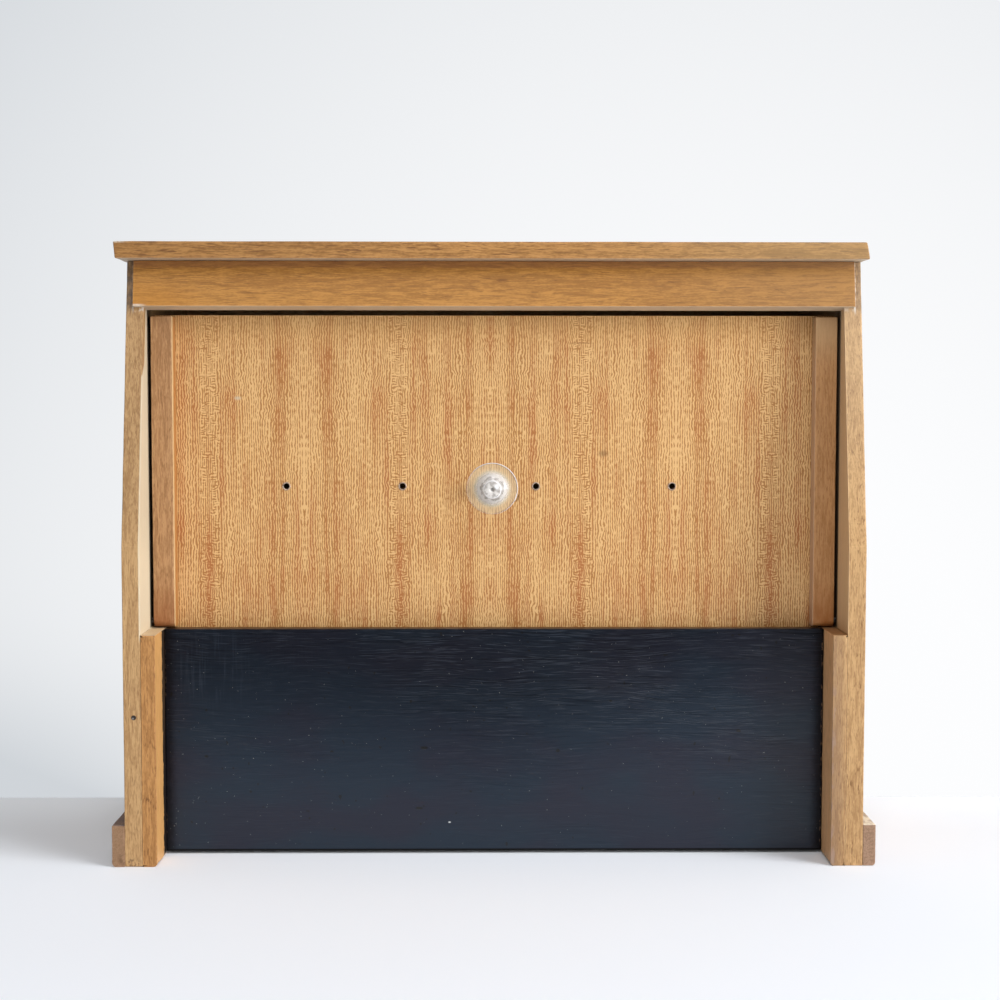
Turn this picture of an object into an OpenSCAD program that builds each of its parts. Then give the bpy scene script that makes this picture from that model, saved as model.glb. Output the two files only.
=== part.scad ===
// Bobbin box: a table-top case with a drop-down front flap. Threads leave the box through four
// eyelets in the flap. Four bobbins stand on spindles behind it.
// Origin: middle of the footprint, on the surface the box stands on. The front faces -Y, +Z is up.

/* [Case] */
// Width over the outer faces of the two sides
case_w = 430; // [380:1:520]
// Depth of the sides, front to back
case_d = 170; // [140:1:220]
// Height of the sides
side_h = 352.6; // [320:0.1:400]
// Thickness of the sides
side_t = 10.2; // [8:0.1:13]
// Height at which the sides' front edges start to lean back
kink_z = 187; // [160:1:210]
// Set-back of the sides' front edges at their top
lean_y = 26; // [12:0.5:40]

/* [Top board] */
// Thickness of the top board
top_t = 10; // [7:0.1:14]
// Overhang of the top board's left end past the side, at its lower face
top_over_left = 3.4; // [1:0.1:6]
// Overhang of the top board's right end past the side, at its lower face
top_over_right = 1.5; // [1:0.1:6]
// Slant of the left end's saw cut: how far its top edge stands out past its bottom edge
top_slant_left = 1; // [0:0.1:3]
// Slant of the right end's saw cut: how far its top edge stays behind its bottom edge
top_slant_right = 1.8; // [0:0.1:3]
// Set-back of the top board's front edge
top_front = 8; // [0:0.5:14]

/* [Front rail] */
// Height of the rail, measured along the lean
rail_h = 27.6; // [18:0.1:36]
// Thickness of the rail
rail_t = 12; // [9:0.5:16]
// How far the rail stands out of the sides' leaning edges
rail_proud = 3.2; // [1:0.1:6]
// Wood of each side that covers the rail's end
rail_end_cover = 4.3; // [2:0.1:6]

/* [Lower front] */
// Thickness of the linings inside the lower half of the sides
lining_t = 8.6; // [6:0.1:12]
// Height of the linings and of the front board's top edge
lining_h = 135.6; // [110:0.1:150]
// Rounding of each lining's lower inner edge
lining_edge_r = 2; // [0.5:0.1:3]
// Thickness of the front board
front_board_t = 8; // [4:0.1:10]
// Set-back of the front board's face
front_board_y = 28.5; // [10:0.5:36]
// Gap under the front board and the back panel
under_gap = 1.5; // [1:0.1:8]
// Width of the foot rails
foot_w = 7.5; // [5:0.1:12]
// Height of the foot rails
foot_h = 24.5; // [16:0.1:34]
// Rounding of each foot rail's lower outer edge
foot_edge_r = 2; // [0.5:0.1:4]

/* [Bottom and back] */
// Thickness of the bottom board
bottom_t = 9; // [6:0.1:14]
// Height of the bottom board's lower face
bottom_z = 5; // [1:0.1:12]
// Thickness of the back panel
back_t = 5; // [3:0.1:8]

/* [Flap] */
// Gap between each edge of the flap and the side next to it
flap_side_gap = 1.7; // [1:0.1:4]
// Clearance between the flap's lower edge and the linings
flap_rest_gap = 0.3; // [0.3:0.1:1.5]
// Clearance between the panel's top edge and the rail's lowest edge
flap_top_gap = 2.2; // [1.5:0.1:6]
// Thickness of the flap's panel
panel_t = 5; // [3:0.1:8]
// How far the panel's middle reaches down behind the front board
panel_lip = 1.2; // [0.5:0.1:3]
// Gap between each end of that lip and the lining next to it
panel_lip_gap = 0.4; // [0.3:0.1:2]
// Width of the stiles on the flap's front
stile_w = 12.8; // [9:0.1:20]
// How far the stiles stand out of the panel
stile_proud = 10.8; // [8:0.1:14]
// How far the stiles' top ends stay below the panel's top edge
stile_short = 0.9; // [0:0.1:6]
// Set-back of the stiles' front faces
flap_y = 32; // [14:0.5:40]
// Distance from the pivot to the stiles' front face and to their lower end
pivot_r = 4; // [3:0.1:7]
// Angle of the flap when it lies open on the linings
flap_open = 90; // [45:1:90]
// Diameter of the pivot pins
pin_d = 3; // [2:0.1:4]
// Radial clearance round the pivot pins
pin_fit = 0.05; // [0.02:0.01:0.1]
// Length of each pivot pin inside its stile
pin_grip = 10; // [6:0.5:12]
// Diameter of the pivot pins' heads
pin_head_d = 6; // [4.5:0.1:8]
// Thickness of the pivot pins' heads
pin_head_t = 1.2; // [0.8:0.1:2]

/* [Flap stops] */
// Width of the stop strips behind the flap
stop_w = 10; // [6:0.5:14]
// Depth of the stop strips, front to back
stop_d = 10; // [6:0.5:16]
// Length of the stop strips
stop_h = 150; // [80:1:170]
// Clearance between the closed flap and the stop strips
stop_gap = 0.3; // [0.3:0.1:1]
// Height of the stop strips' lower ends above the pivot
stop_rise = 20; // [18:1:40]

/* [Eyelets] */
// Sideways place of the first eyelet, counted from the left
eyelet_1_x = -124.7; // [-160:0.5:-100]
// Sideways place of the second eyelet
eyelet_2_x = -55.1; // [-90:0.5:-30]
// Sideways place of the third eyelet
eyelet_3_x = 25; // [20:0.5:60]
// Sideways place of the fourth eyelet
eyelet_4_x = 106.8; // [80:0.5:160]
// Height of the eyelets above the flap's lower edge
eyelet_rise = 83.9; // [60:0.5:120]
// Bore of the eyelets
eyelet_bore_d = 3.5; // [2.5:0.1:5]
// Wall of the eyelets' barrels
eyelet_wall = 0.45; // [0.3:0.05:0.8]
// Diameter of the eyelets' flanges
eyelet_flange_d = 5.8; // [5:0.1:9]
// Thickness of the eyelets' flanges
eyelet_flange_t = 0.5; // [0.3:0.1:0.8]

/* [Suction cup] */
// Diameter of the suction cup's rim
cup_d = 31; // [24:0.5:36]
// Sideways place of the suction cup
cup_x = -1.3; // [-8:0.1:6]
// Height of the suction cup's centre above the flap's lower edge
cup_rise = 82.5; // [60:0.5:120]
// Thickness of the cup's rim
cup_rim_t = 0.8; // [0.5:0.1:1.5]
// Height of the whole suction cup
cup_h = 13; // [10:0.5:18]
// Diameter of the cup's thick middle
cup_dome_d = 20; // [14:0.5:22]
// Height of the cup's thick middle
cup_dome_h = 4.5; // [3:0.1:6]
// Diameter of the cup's neck
cup_neck_d = 8; // [5:0.1:10]
// Diameter of the cup's head
cup_head_d = 11; // [8:0.1:14]
// Height of the cup's head
cup_head_h = 4; // [2:0.1:6]
// Width of the cup's pull tab
cup_tab_w = 5.5; // [3:0.1:8]
// How far the pull tab stands out of the rim
cup_tab_out = 2; // [1:0.1:5]
// Angle of the pull tab below the level, on the right
cup_tab_angle = 20; // [0:1:90]

/* [Spindles] */
// Diameter of the bobbin spindles
spindle_d = 8; // [5:0.5:12]
// Height of the spindles above the bottom board
spindle_h = 105; // [60:1:115]
// Distance of the spindles from the front board's back face
spindle_back = 60; // [40:1:80]
// Depth of the spindles' sockets in the bottom board
socket_depth = 6; // [3:0.5:7]
// Radial clearance of the glued spindles in their sockets
socket_fit = 0.05; // [0.02:0.01:0.2]

/* [Nails] */
// Diameter of the nails' shanks
nail_d = 1.8; // [1.2:0.1:2.4]
// Length of the nails
nail_l = 25; // [18:1:30]
// Length of the short nails in the foot rails
foot_nail_l = 15; // [12:0.5:16]
// Diameter of the nails' heads
nail_head_d = 3.6; // [2.8:0.1:4.4]
// Thickness of the nails' heads
nail_head_t = 0.8; // [0.5:0.1:1.5]
// Radial clearance round the nails
nail_fit = 0.05; // [0.02:0.01:0.1]
// Distance of the first and last nails from the ends of what they hold
nail_end = 24; // [15:1:40]
// Number of nails along each joint
nail_count = 3; // [2:1:5]

/* [Hidden] */
$fn = 48;
// How far a cut runs past the surface it opens
cut = 1;

// Directions along X of the left and right halves
LEFT = -1;
RIGHT = 1;

// Case
front_y = -case_d / 2;                              // plane of the sides' front edges
back_y = case_d / 2;
side_out_x = case_w / 2;
side_in_x = side_out_x - side_t;
lining_in_x = side_in_x - lining_t;
lean_angle = atan2(lean_y, side_h - kink_z);        // lean of the sides' upper front edges
back_in_y = back_y - back_t;                        // inner face of the back panel

// Front rail: a frame whose local Z runs up the lean and whose local Y runs into the side
function on_lean(y, z) = [
    front_y + y * cos(lean_angle) + z * sin(lean_angle),
    kink_z - y * sin(lean_angle) + z * cos(lean_angle)
];
// Length up the lean at which a line at local depth y meets the sides' top
function lean_top(y) = (side_h - kink_z + y * sin(lean_angle)) / cos(lean_angle);
rail_back = rail_t - rail_proud;                    // local depth of the rail's back face
rail_low = lean_top(0) - rail_h;                    // local height of the rail's lower face
rail_low_z = on_lean(rail_back, rail_low)[1];       // lowest edge of the rail
rail_end_x = side_out_x - rail_end_cover;

// Flap
flap_half_w = side_in_x - flap_side_gap;
flap_bottom_z = lining_h + flap_rest_gap;
panel_top_z = rail_low_z - flap_top_gap;
stile_top_z = panel_top_z - stile_short;
stile_front_y = front_y + flap_y;
panel_y = stile_front_y + stile_proud;              // front face of the panel
panel_back_y = panel_y + panel_t;
pivot_y = stile_front_y + pivot_r;
pivot_z = flap_bottom_z + pivot_r;
stile_in_x = flap_half_w - stile_w;

// Flap stops
stop_y = panel_back_y + stop_gap;
stop_z = pivot_z + stop_rise;

// Lower front
front_board_front_y = front_y + front_board_y;
front_board_back_y = front_board_front_y + front_board_t;

// Eyelets
EYELET_X = [eyelet_1_x, eyelet_2_x, eyelet_3_x, eyelet_4_x];
eyelet_z = flap_bottom_z + eyelet_rise;
eyelet_barrel_d = eyelet_bore_d + 2 * eyelet_wall;
eyelet_fit = 0.05;                                  // radial clearance of the barrel in the panel

// Suction cup
cup_z = flap_bottom_z + cup_rise;
cup_dome_edge_t = 2 * cup_rim_t;                    // thickness where the dome meets the thin rim
cup_head_bevel = 0.8;
cup_dimple_d = 3.2;
cup_dimple_depth = 1;

// Spindles
spindle_y = front_board_back_y + spindle_back;
bottom_top_z = bottom_z + bottom_t;
spindle_tip_h = spindle_d / 4;

// Nails
top_nail_x = side_out_x - side_t / 2;
top_nail_front_y = on_lean(rail_back, lean_top(rail_back))[0] + nail_end;
foot_nail_z = foot_h / 2;
function nail_row(first, last, i) = first + (last - first) * i / (nail_count - 1);

// Mirrors a left or right piece that is drawn on the +X side
module on_side(side) {
    if (side == LEFT) mirror([1, 0, 0]) children();
    else children();
}

// Extrudes a Y-Z outline along X
module along_x(from_x, to_x) {
    translate([from_x, 0, 0]) rotate([90, 0, 90]) linear_extrude(to_x - from_x) children();
}

// Extrudes an X-Z outline along Y
module along_y(from_y, to_y) {
    translate([0, to_y, 0]) rotate([90, 0, 0]) linear_extrude(to_y - from_y) children();
}

// A box given by its low and high corners
module block(low, high) {
    translate(low) cube(high - low);
}

// A shaft or bore along X
module rod_x(from_x, to_x, y, z, d) {
    translate([from_x, y, z]) rotate([0, 90, 0]) cylinder(d = d, h = to_x - from_x);
}

// A nail that points down -Z from its head's top at the origin; grow widens it for its hole
module nail(length, grow = 0) {
    translate([0, 0, -length]) cylinder(d = nail_d + 2 * grow, h = length);
    translate([0, 0, -nail_head_t]) cylinder(d = nail_head_d + 2 * grow, h = nail_head_t + (grow > 0 ? cut : 0));
}

// Nails down through the top board into both sides
module top_nail_set(grow = 0) {
    for (side = [LEFT, RIGHT], i = [0 : nail_count - 1])
        translate([side * top_nail_x, nail_row(top_nail_front_y, back_in_y - nail_end / 2, i), side_h + top_t])
            nail(nail_l, grow);
}

// Nails in through the foot rails into both sides
module foot_nail_set(grow = 0) {
    for (side = [LEFT, RIGHT], i = [0 : nail_count - 1])
        translate([side * (side_out_x + foot_w), nail_row(front_y + nail_end, back_y - nail_end, i), foot_nail_z])
            rotate([0, side * 90, 0]) nail(foot_nail_l, grow);
}

// Outline of the rail's end, let out by grow for its housing
module rail_outline(grow = 0) {
    polygon([
        on_lean(-rail_proud - grow, rail_low - grow),
        on_lean(rail_back + grow, rail_low - grow),
        on_lean(rail_back + grow, lean_top(rail_back + grow)),
        on_lean(-rail_proud - grow, lean_top(-rail_proud - grow))
    ]);
}

module side_outline() {
    polygon([
        [front_y, 0],
        [back_y, 0],
        [back_y, side_h],
        [front_y + lean_y, side_h],
        [front_y, kink_z]
    ]);
}

module side_blank() {
    difference() {
        along_x(side_in_x, side_out_x) side_outline();
        along_x(side_in_x - cut, rail_end_x) rail_outline();
        rod_x(side_in_x - cut, side_out_x + cut, pivot_y, pivot_z, pin_d + 2 * pin_fit);
    }
}

module side_left() {
    color("BurlyWood") difference() {
        on_side(LEFT) side_blank();
        top_nail_set(nail_fit);
        foot_nail_set(nail_fit);
    }
}

module side_right() {
    color("BurlyWood") difference() {
        side_blank();
        top_nail_set(nail_fit);
        foot_nail_set(nail_fit);
    }
}

module top_board() {
    left_x = -side_out_x - top_over_left;
    right_x = side_out_x + top_over_right;
    color("Peru") difference() {
        along_y(front_y + top_front, back_y)
            polygon([
                [left_x, side_h],
                [right_x, side_h],
                [right_x - top_slant_right, side_h + top_t],
                [left_x - top_slant_left, side_h + top_t]
            ]);
        top_nail_set(nail_fit);
    }
}

module front_rail() {
    color("SandyBrown") along_x(-rail_end_x, rail_end_x) rail_outline();
}

module lining() {
    along_y(front_y, back_in_y) difference() {
        translate([lining_in_x, 0]) square([lining_t, lining_h]);
        translate([lining_in_x, 0]) difference() {
            square(lining_edge_r);
            translate([lining_edge_r, lining_edge_r]) circle(r = lining_edge_r);
        }
    }
}

module lining_left() {
    color("Peru") on_side(LEFT) lining();
}

module lining_right() {
    color("BurlyWood") lining();
}

module front_board() {
    color("DarkSlateGray") block([-lining_in_x, front_board_front_y, under_gap],
        [lining_in_x, front_board_back_y, lining_h]);
}

module bottom_board() {
    color("Tan") difference() {
        block([-lining_in_x, front_board_back_y, bottom_z], [lining_in_x, back_in_y, bottom_top_z]);
        for (x = EYELET_X)
            translate([x, spindle_y, bottom_top_z - socket_depth])
                cylinder(d = spindle_d + 2 * socket_fit, h = socket_depth + cut);
    }
}

module back_panel() {
    color("Tan") block([-side_in_x, back_in_y, under_gap], [side_in_x, back_y, side_h]);
}

module foot_rail() {
    along_y(front_y, back_y) translate([side_out_x, 0]) difference() {
        square([foot_w, foot_h]);
        translate([foot_w - foot_edge_r, 0]) difference() {
            square(foot_edge_r);
            translate([0, foot_edge_r]) circle(r = foot_edge_r);
        }
    }
}

module foot_rail_left() {
    color("Sienna") difference() {
        on_side(LEFT) foot_rail();
        foot_nail_set(nail_fit);
    }
}

module foot_rail_right() {
    color("RosyBrown") difference() {
        foot_rail();
        foot_nail_set(nail_fit);
    }
}

module stop_strip() {
    block([side_in_x - stop_w, stop_y, stop_z], [side_in_x, stop_y + stop_d, stop_z + stop_h]);
}

module stop_strip_left() {
    color("Tan") on_side(LEFT) stop_strip();
}

module stop_strip_right() {
    color("Tan") stop_strip();
}

// A headed pin through the side into the end of the flap's stile
module pivot_pin() {
    rod_x(flap_half_w - pin_grip, side_out_x + pin_head_t, pivot_y, pivot_z, pin_d);
    rod_x(side_out_x, side_out_x + pin_head_t, pivot_y, pivot_z, pin_head_d);
}

module pivot_pin_left() {
    color("Silver") on_side(LEFT) pivot_pin();
}

module pivot_pin_right() {
    color("Silver") pivot_pin();
}

module top_nails() {
    color("DimGray") top_nail_set();
}

module foot_nails() {
    color("DimGray") foot_nail_set();
}

// A dowel with a tapered tip, in a socket of the bottom board
module spindle(x) {
    straight_h = spindle_h - spindle_tip_h;
    color("Wheat") translate([x, spindle_y, bottom_top_z]) {
        translate([0, 0, -socket_depth]) cylinder(d = spindle_d, h = socket_depth + straight_h);
        translate([0, 0, straight_h]) cylinder(d1 = spindle_d, d2 = spindle_d / 2, h = spindle_tip_h);
    }
}

module flap_panel() {
    lip_x = lining_in_x - panel_lip_gap;
    color("Goldenrod") difference() {
        union() {
            block([-flap_half_w, panel_y, flap_bottom_z], [flap_half_w, panel_back_y, panel_top_z]);
            block([-lip_x, panel_y, flap_bottom_z - panel_lip], [lip_x, panel_back_y, flap_bottom_z + cut]);
        }
        for (x = EYELET_X)
            translate([x, panel_back_y + cut, eyelet_z]) rotate([90, 0, 0])
                cylinder(d = eyelet_barrel_d + 2 * eyelet_fit, h = panel_t + 2 * cut);
    }
}

// The stile's lower front edge is rounded about the pivot, so that it clears the linings
module flap_stile() {
    difference() {
        along_x(stile_in_x, flap_half_w) {
            translate([pivot_y, flap_bottom_z]) square([panel_y - pivot_y, stile_top_z - flap_bottom_z]);
            translate([stile_front_y, pivot_z]) square([pivot_r, stile_top_z - pivot_z]);
            translate([pivot_y, pivot_z]) circle(r = pivot_r);
        }
        block([stile_in_x - cut, panel_y, flap_bottom_z - cut],
            [flap_half_w + cut, panel_y + pivot_r, pivot_z + pivot_r]);
        rod_x(flap_half_w - pin_grip - cut, flap_half_w + cut, pivot_y, pivot_z, pin_d + 2 * pin_fit);
    }
}

module flap_stile_left() {
    color("Sienna") on_side(LEFT) flap_stile();
}

module flap_stile_right() {
    color("Peru") flap_stile();
}

// A tube through the panel with a flange on each face
module eyelet(x) {
    color("DarkKhaki") translate([x, panel_back_y + eyelet_flange_t, eyelet_z]) rotate([90, 0, 0]) difference() {
        union() {
            cylinder(d = eyelet_barrel_d, h = panel_t + 2 * eyelet_flange_t);
            cylinder(d = eyelet_flange_d, h = eyelet_flange_t);
            translate([0, 0, panel_t + eyelet_flange_t]) cylinder(d = eyelet_flange_d, h = eyelet_flange_t);
        }
        translate([0, 0, -cut]) cylinder(d = eyelet_bore_d, h = panel_t + 2 * eyelet_flange_t + 2 * cut);
    }
}

// A clear cup pressed flat on the panel: thin rim, thick middle, neck and dimpled head
module suction_cup() {
    head_z = cup_h - cup_head_h;
    color("WhiteSmoke", 0.5) translate([cup_x, panel_y, cup_z]) rotate([90, 0, 0]) {
        rotate_extrude() polygon([
            [0, 0],
            [cup_d / 2, 0],
            [cup_d / 2, cup_rim_t],
            [cup_dome_d / 2, cup_dome_edge_t],
            [cup_neck_d / 2, cup_dome_h],
            [cup_neck_d / 2, head_z],
            [cup_head_d / 2, head_z + cup_head_bevel],
            [cup_head_d / 2, cup_h - cup_head_bevel],
            [cup_head_d / 2 - cup_head_bevel, cup_h],
            [cup_dimple_d / 2, cup_h],
            [0, cup_h - cup_dimple_depth]
        ]);
        rotate([0, 0, -cup_tab_angle]) translate([cup_d / 2 - cup_tab_w, -cup_tab_w / 2, 0])
            cube([cup_tab_w + cup_tab_out, cup_tab_w, cup_rim_t]);
    }
}

side_left();
side_right();
top_board();
front_rail();
lining_left();
lining_right();
front_board();
bottom_board();
back_panel();
foot_rail_left();
foot_rail_right();
stop_strip_left();
stop_strip_right();
pivot_pin_left();
pivot_pin_right();
top_nails();
foot_nails();
spindle(eyelet_1_x);  // spindle_1
spindle(eyelet_2_x);  // spindle_2
spindle(eyelet_3_x);  // spindle_3
spindle(eyelet_4_x);  // spindle_4
flap_panel();
flap_stile_left();
flap_stile_right();
eyelet(eyelet_1_x);  // eyelet_1
eyelet(eyelet_2_x);  // eyelet_2
eyelet(eyelet_3_x);  // eyelet_3
eyelet(eyelet_4_x);  // eyelet_4
suction_cup();
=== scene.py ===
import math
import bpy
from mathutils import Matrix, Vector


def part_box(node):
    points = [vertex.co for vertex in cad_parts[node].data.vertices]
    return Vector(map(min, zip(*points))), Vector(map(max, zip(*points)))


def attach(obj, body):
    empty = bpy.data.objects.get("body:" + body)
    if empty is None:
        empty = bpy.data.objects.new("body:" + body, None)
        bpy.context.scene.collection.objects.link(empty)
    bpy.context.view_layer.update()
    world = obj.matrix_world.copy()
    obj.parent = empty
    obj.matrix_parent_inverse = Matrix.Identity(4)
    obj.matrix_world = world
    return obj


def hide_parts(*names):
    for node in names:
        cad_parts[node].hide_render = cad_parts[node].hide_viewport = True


bl_info = {
    "name": "Bobbin Box",
    "version": (1, 0, 0),
    "blender": (4, 5, 0),
    "location": "View3D > Sidebar > Bobbin Box",
    "description": "Boards, flap, eyelets, suction cup and studio of the bobbin box",
    "category": "Object",
}

import bmesh
import bpy
import numpy as np
from mathutils import Matrix, Vector

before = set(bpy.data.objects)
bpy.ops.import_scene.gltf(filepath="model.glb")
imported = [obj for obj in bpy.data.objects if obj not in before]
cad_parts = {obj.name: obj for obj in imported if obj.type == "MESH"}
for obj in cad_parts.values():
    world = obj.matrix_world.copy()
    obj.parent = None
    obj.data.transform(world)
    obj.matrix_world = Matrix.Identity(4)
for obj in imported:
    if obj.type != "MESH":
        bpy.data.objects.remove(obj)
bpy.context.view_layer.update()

MM = 0.001
TURN = 2 * math.pi
# faces of a rounded arris, across it
ARC_STEPS = 5
# the suction cup's middle on the flap
CUP_X, CUP_Z = -0.0013, 0.2184
# the front faces of the case, of the painted board and of the flap's panel
FRONT_Y, PAINT_Y, PANEL_Y = -0.085, -0.0565, -0.0422


def srgb(red, green, blue):
    """Scene-linear colour of an 8-bit sRGB one."""
    values = np.array([red, green, blue]) / 255
    linear = np.where(values <= 0.04045, values / 12.92, ((values + 0.055) / 1.055) ** 2.4)
    return tuple(float(v) for v in linear)


# ---------------------------------------------------------------- shapes


def wander(seed, places, pitch):
    """Smooth random values between -1 and 1 along a line.

    A random value stands at every pitch, and between two of them the value eases over with 3t^2 - 2t^3.
    """
    cells = (np.asarray(places, float) - np.min(places)) / pitch
    knots = np.random.default_rng(seed).uniform(-1, 1, int(cells.max()) + 2)
    low = np.floor(cells).astype(int)
    t = cells - low
    t = t * t * (3 - 2 * t)
    return knots[low] * (1 - t) + knots[low + 1] * t


def mesh_from_grid(name, points, normals=None, ring=None, tube=False, caps=False):
    """Mesh of a grid of points P(v, u), or of several grids at once.

    Point (v, u) is joined to (v, u + 1), (v + 1, u + 1) and (v + 1, u). The grid closes on itself across u,
    and across v where tube is set. Caps close its first and last rows with one face each. The ring values
    become the points' arris attribute. Without normals the points that fall together are joined.
    """
    points = np.asarray(points, float)
    if points.ndim == 3:
        points = points[None]
    copies, rows, columns = points.shape[:3]
    index = np.arange(copies * rows * columns).reshape(copies, rows, columns)
    across = np.concatenate([index, index[:, :, :1]], 2)
    across = np.concatenate([across, across[:, :1]], 1) if tube else across
    quads = np.stack(
        [across[:, :-1, :-1], across[:, :-1, 1:], across[:, 1:, 1:], across[:, 1:, :-1]], -1
    ).reshape(-1, 4)
    faces = quads.tolist()
    if caps:
        faces += index[:, 0, ::-1].tolist() + index[:, -1].tolist()
    mesh = bpy.data.meshes.new(name)
    mesh.from_pydata(points.reshape(-1, 3), [], faces)
    if ring is not None:
        mesh.attributes.new("arris", "FLOAT", "POINT").data.foreach_set(
            "value", np.asarray(ring, np.float32).ravel()
        )
    solid = bmesh.new()
    solid.from_mesh(mesh)
    if normals is None:
        bmesh.ops.remove_doubles(solid, verts=solid.verts, dist=1e-7)
    if solid.calc_volume(signed=True) < 0:
        bmesh.ops.reverse_faces(solid, faces=solid.faces)
    solid.to_mesh(mesh)
    solid.free()
    mesh.shade_smooth()
    if normals is not None:
        mesh.normals_split_custom_set_from_vertices(np.asarray(normals, float).reshape(-1, 3))
    piece = bpy.data.objects.new(name, mesh)
    bpy.context.scene.collection.objects.link(piece)
    return piece


def clear_of(radius):
    """How far the straight rows stay clear of a corner that is rounded to a radius."""
    return 2.4 * radius + 0.0004


def rounded_outline(corners, radii, step):
    """Convex outline with rounded corners, as the points A + r B with their outward normals N.

    On a corner's arc A is the corner, N turns from one side's normal to the next one's, and
    B = N - (n0 + n1) / (1 + n0 . n1), so that any radius r touches both sides. On the straight runs B is
    nought. Returns A, B, N, the corner that each point belongs to, and a weight that is 1 on the arcs.
    """
    corners = np.asarray(corners, float)
    radii = np.broadcast_to(np.asarray(radii, float), len(corners))
    after = np.roll(corners, -1, 0)
    if np.sum(corners[:, 0] * after[:, 1] - after[:, 0] * corners[:, 1]) < 0:
        corners, radii = corners[::-1], radii[::-1]
    edges = np.roll(corners, -1, 0) - corners
    lengths = np.hypot(edges[:, 0], edges[:, 1])
    facing = np.column_stack([edges[:, 1], -edges[:, 0]]) / lengths[:, None]
    before = np.roll(facing, 1, 0)
    start = np.arctan2(before[:, 1], before[:, 0])
    turn = (np.arctan2(facing[:, 1], facing[:, 0]) - start) % TURN
    margin = clear_of(radii * np.tan(turn / 2))
    parts = []
    for i in range(len(corners)):
        angle = start[i] + turn[i] * np.linspace(0, 1, ARC_STEPS + 1)
        normal = np.column_stack([np.cos(angle), np.sin(angle)])
        inward = -(before[i] + facing[i]) / (1 + before[i] @ facing[i])
        count = len(angle)
        parts.append((np.tile(corners[i], (count, 1)), normal + inward, normal, np.full(count, i), np.ones(count)))
        far = lengths[i] - margin[(i + 1) % len(corners)]
        if far <= margin[i]:
            continue
        count = max(2, int((far - margin[i]) / step) + 1)
        along = np.linspace(margin[i], far, count)[:, None]
        straight = corners[i] + edges[i] / lengths[i] * along
        parts.append(
            (straight, np.zeros((count, 2)), np.tile(facing[i], (count, 1)), np.full(count, i), np.zeros(count))
        )
    return [np.concatenate(values) for values in zip(*parts)] + [radii]


# for each axis of length, the two axes across it and itself
AXES = {"X": (1, 2, 0), "Y": (0, 2, 1), "Z": (0, 1, 2)}


def board(
    name, axis, start, end, corners, sizes, seed, radii=None, slant=(0, 0), worn=None, keen=(1.0, 1.0), curl=0.0
):
    """A board with a rounded outline across it and its length along an axis, as worn as its sizes say.

    P(v, u) = A(u) + r(v, u) B(u) - e(v, u) (1 - cos f(v)) N(u) + w(v, u) N(u) across the length, and
    start + e(v, u) (1 - sin f(v)) along it at its first end, where f falls from a right angle to nought, the
    straight rows between, and the same at its far end. r and e are the arris radius with its wear, keen
    shares e out to the two ends, and w is a slight unevenness, less an inset that keeps it in its box. Each
    end also has a ring further in, at A - d (N - B) + s B, so that its arris stays narrow. The ends lean by
    slant, and curl bends the far one.
    """
    inset, ripple, ring_in, ring_round = 0.00013, 0.00006, 0.0012, 0.0001
    arris = sizes.arris if worn is None else worn
    A, B, N, corner, weight, radii = rounded_outline(corners, arris if radii is None else radii, sizes.mesh_step)
    length = end - start
    angle = np.linspace(math.pi / 2, 0, ARC_STEPS + 1)
    margin = clear_of(arris)
    rows = max(2, int((length - 2 * margin) / sizes.mesh_step) + 1)
    inner = np.linspace(margin, length - margin, rows)
    nought = np.zeros(rows)
    f = np.concatenate([angle, nought, angle[::-1]])[:, None]
    side = np.concatenate([np.full(len(angle), -1), nought, np.full(len(angle), 1)])[:, None]
    middle = np.concatenate([np.zeros(len(angle)), inner, np.full(len(angle), length)])[:, None]
    travel = np.cumsum(np.hypot(*np.diff(A, axis=0, prepend=A[:1]).T))
    e = arris * (1 + sizes.wear * wander(seed, travel, 0.006)) * (1 + 0.35 * wander(seed + 1, travel, 0.03))
    e = e[None] * np.where(side < 0, keen[0], keen[1])
    rough = np.stack([
        wander(seed + 10 + k, middle[:, 0], 0.005) + 0.5 * wander(seed + 40 + k, middle[:, 0], 0.022)
        for k in range(len(radii))
    ], 1)
    r = radii[None] * np.clip(1 + sizes.wear * rough, 0.25, 2.2)
    r = r[:, corner]
    uneven = ripple * (wander(seed + 80, middle[:, 0], 0.05)[:, None] + wander(seed + 81, travel, 0.05)[None])
    across = A[None] + r[:, :, None] * B[None] + (uneven - e * (1 - np.cos(f)) - inset)[:, :, None] * N[None]
    along = start + middle - side * e * (1 - np.sin(f)) * np.abs(side)
    rings = A - ring_in * (N - B) + ring_round * B
    across = np.concatenate([rings[None], across, rings[None]])
    along = np.concatenate([np.full_like(along[:1], start), along, np.full_like(along[:1], end)])
    base = min(v for _, v in corners)
    height = max(v for _, v in corners) - base
    level = across[:, :, 1] - base
    fraction = np.clip((along - start) / length, 0, 1)
    along = along + (slant[0] * (1 - fraction) + slant[1] * fraction) * level
    along = along - curl * fraction * (level / height) * (level / height - 1)
    f = np.concatenate([f[:1], f, f[-1:]])
    side = np.concatenate([side[:1], side, side[-1:]])
    *sideways, lengthways = AXES[axis]
    points = np.empty(along.shape + (3,))
    points[:, :, sideways] = across
    points[:, :, lengthways] = along
    normals = np.empty_like(points)
    normals[:, :, sideways] = np.cos(f)[:, :, None] * N[None]
    normals[:, :, lengthways] = np.sin(f) * side
    normals /= np.linalg.norm(normals, axis=2, keepdims=True)
    ring = np.maximum(weight[None], np.abs(side))
    ring[[0, -1]] = 0.0
    return mesh_from_grid(name, points, normals, ring, caps=True)


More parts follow.
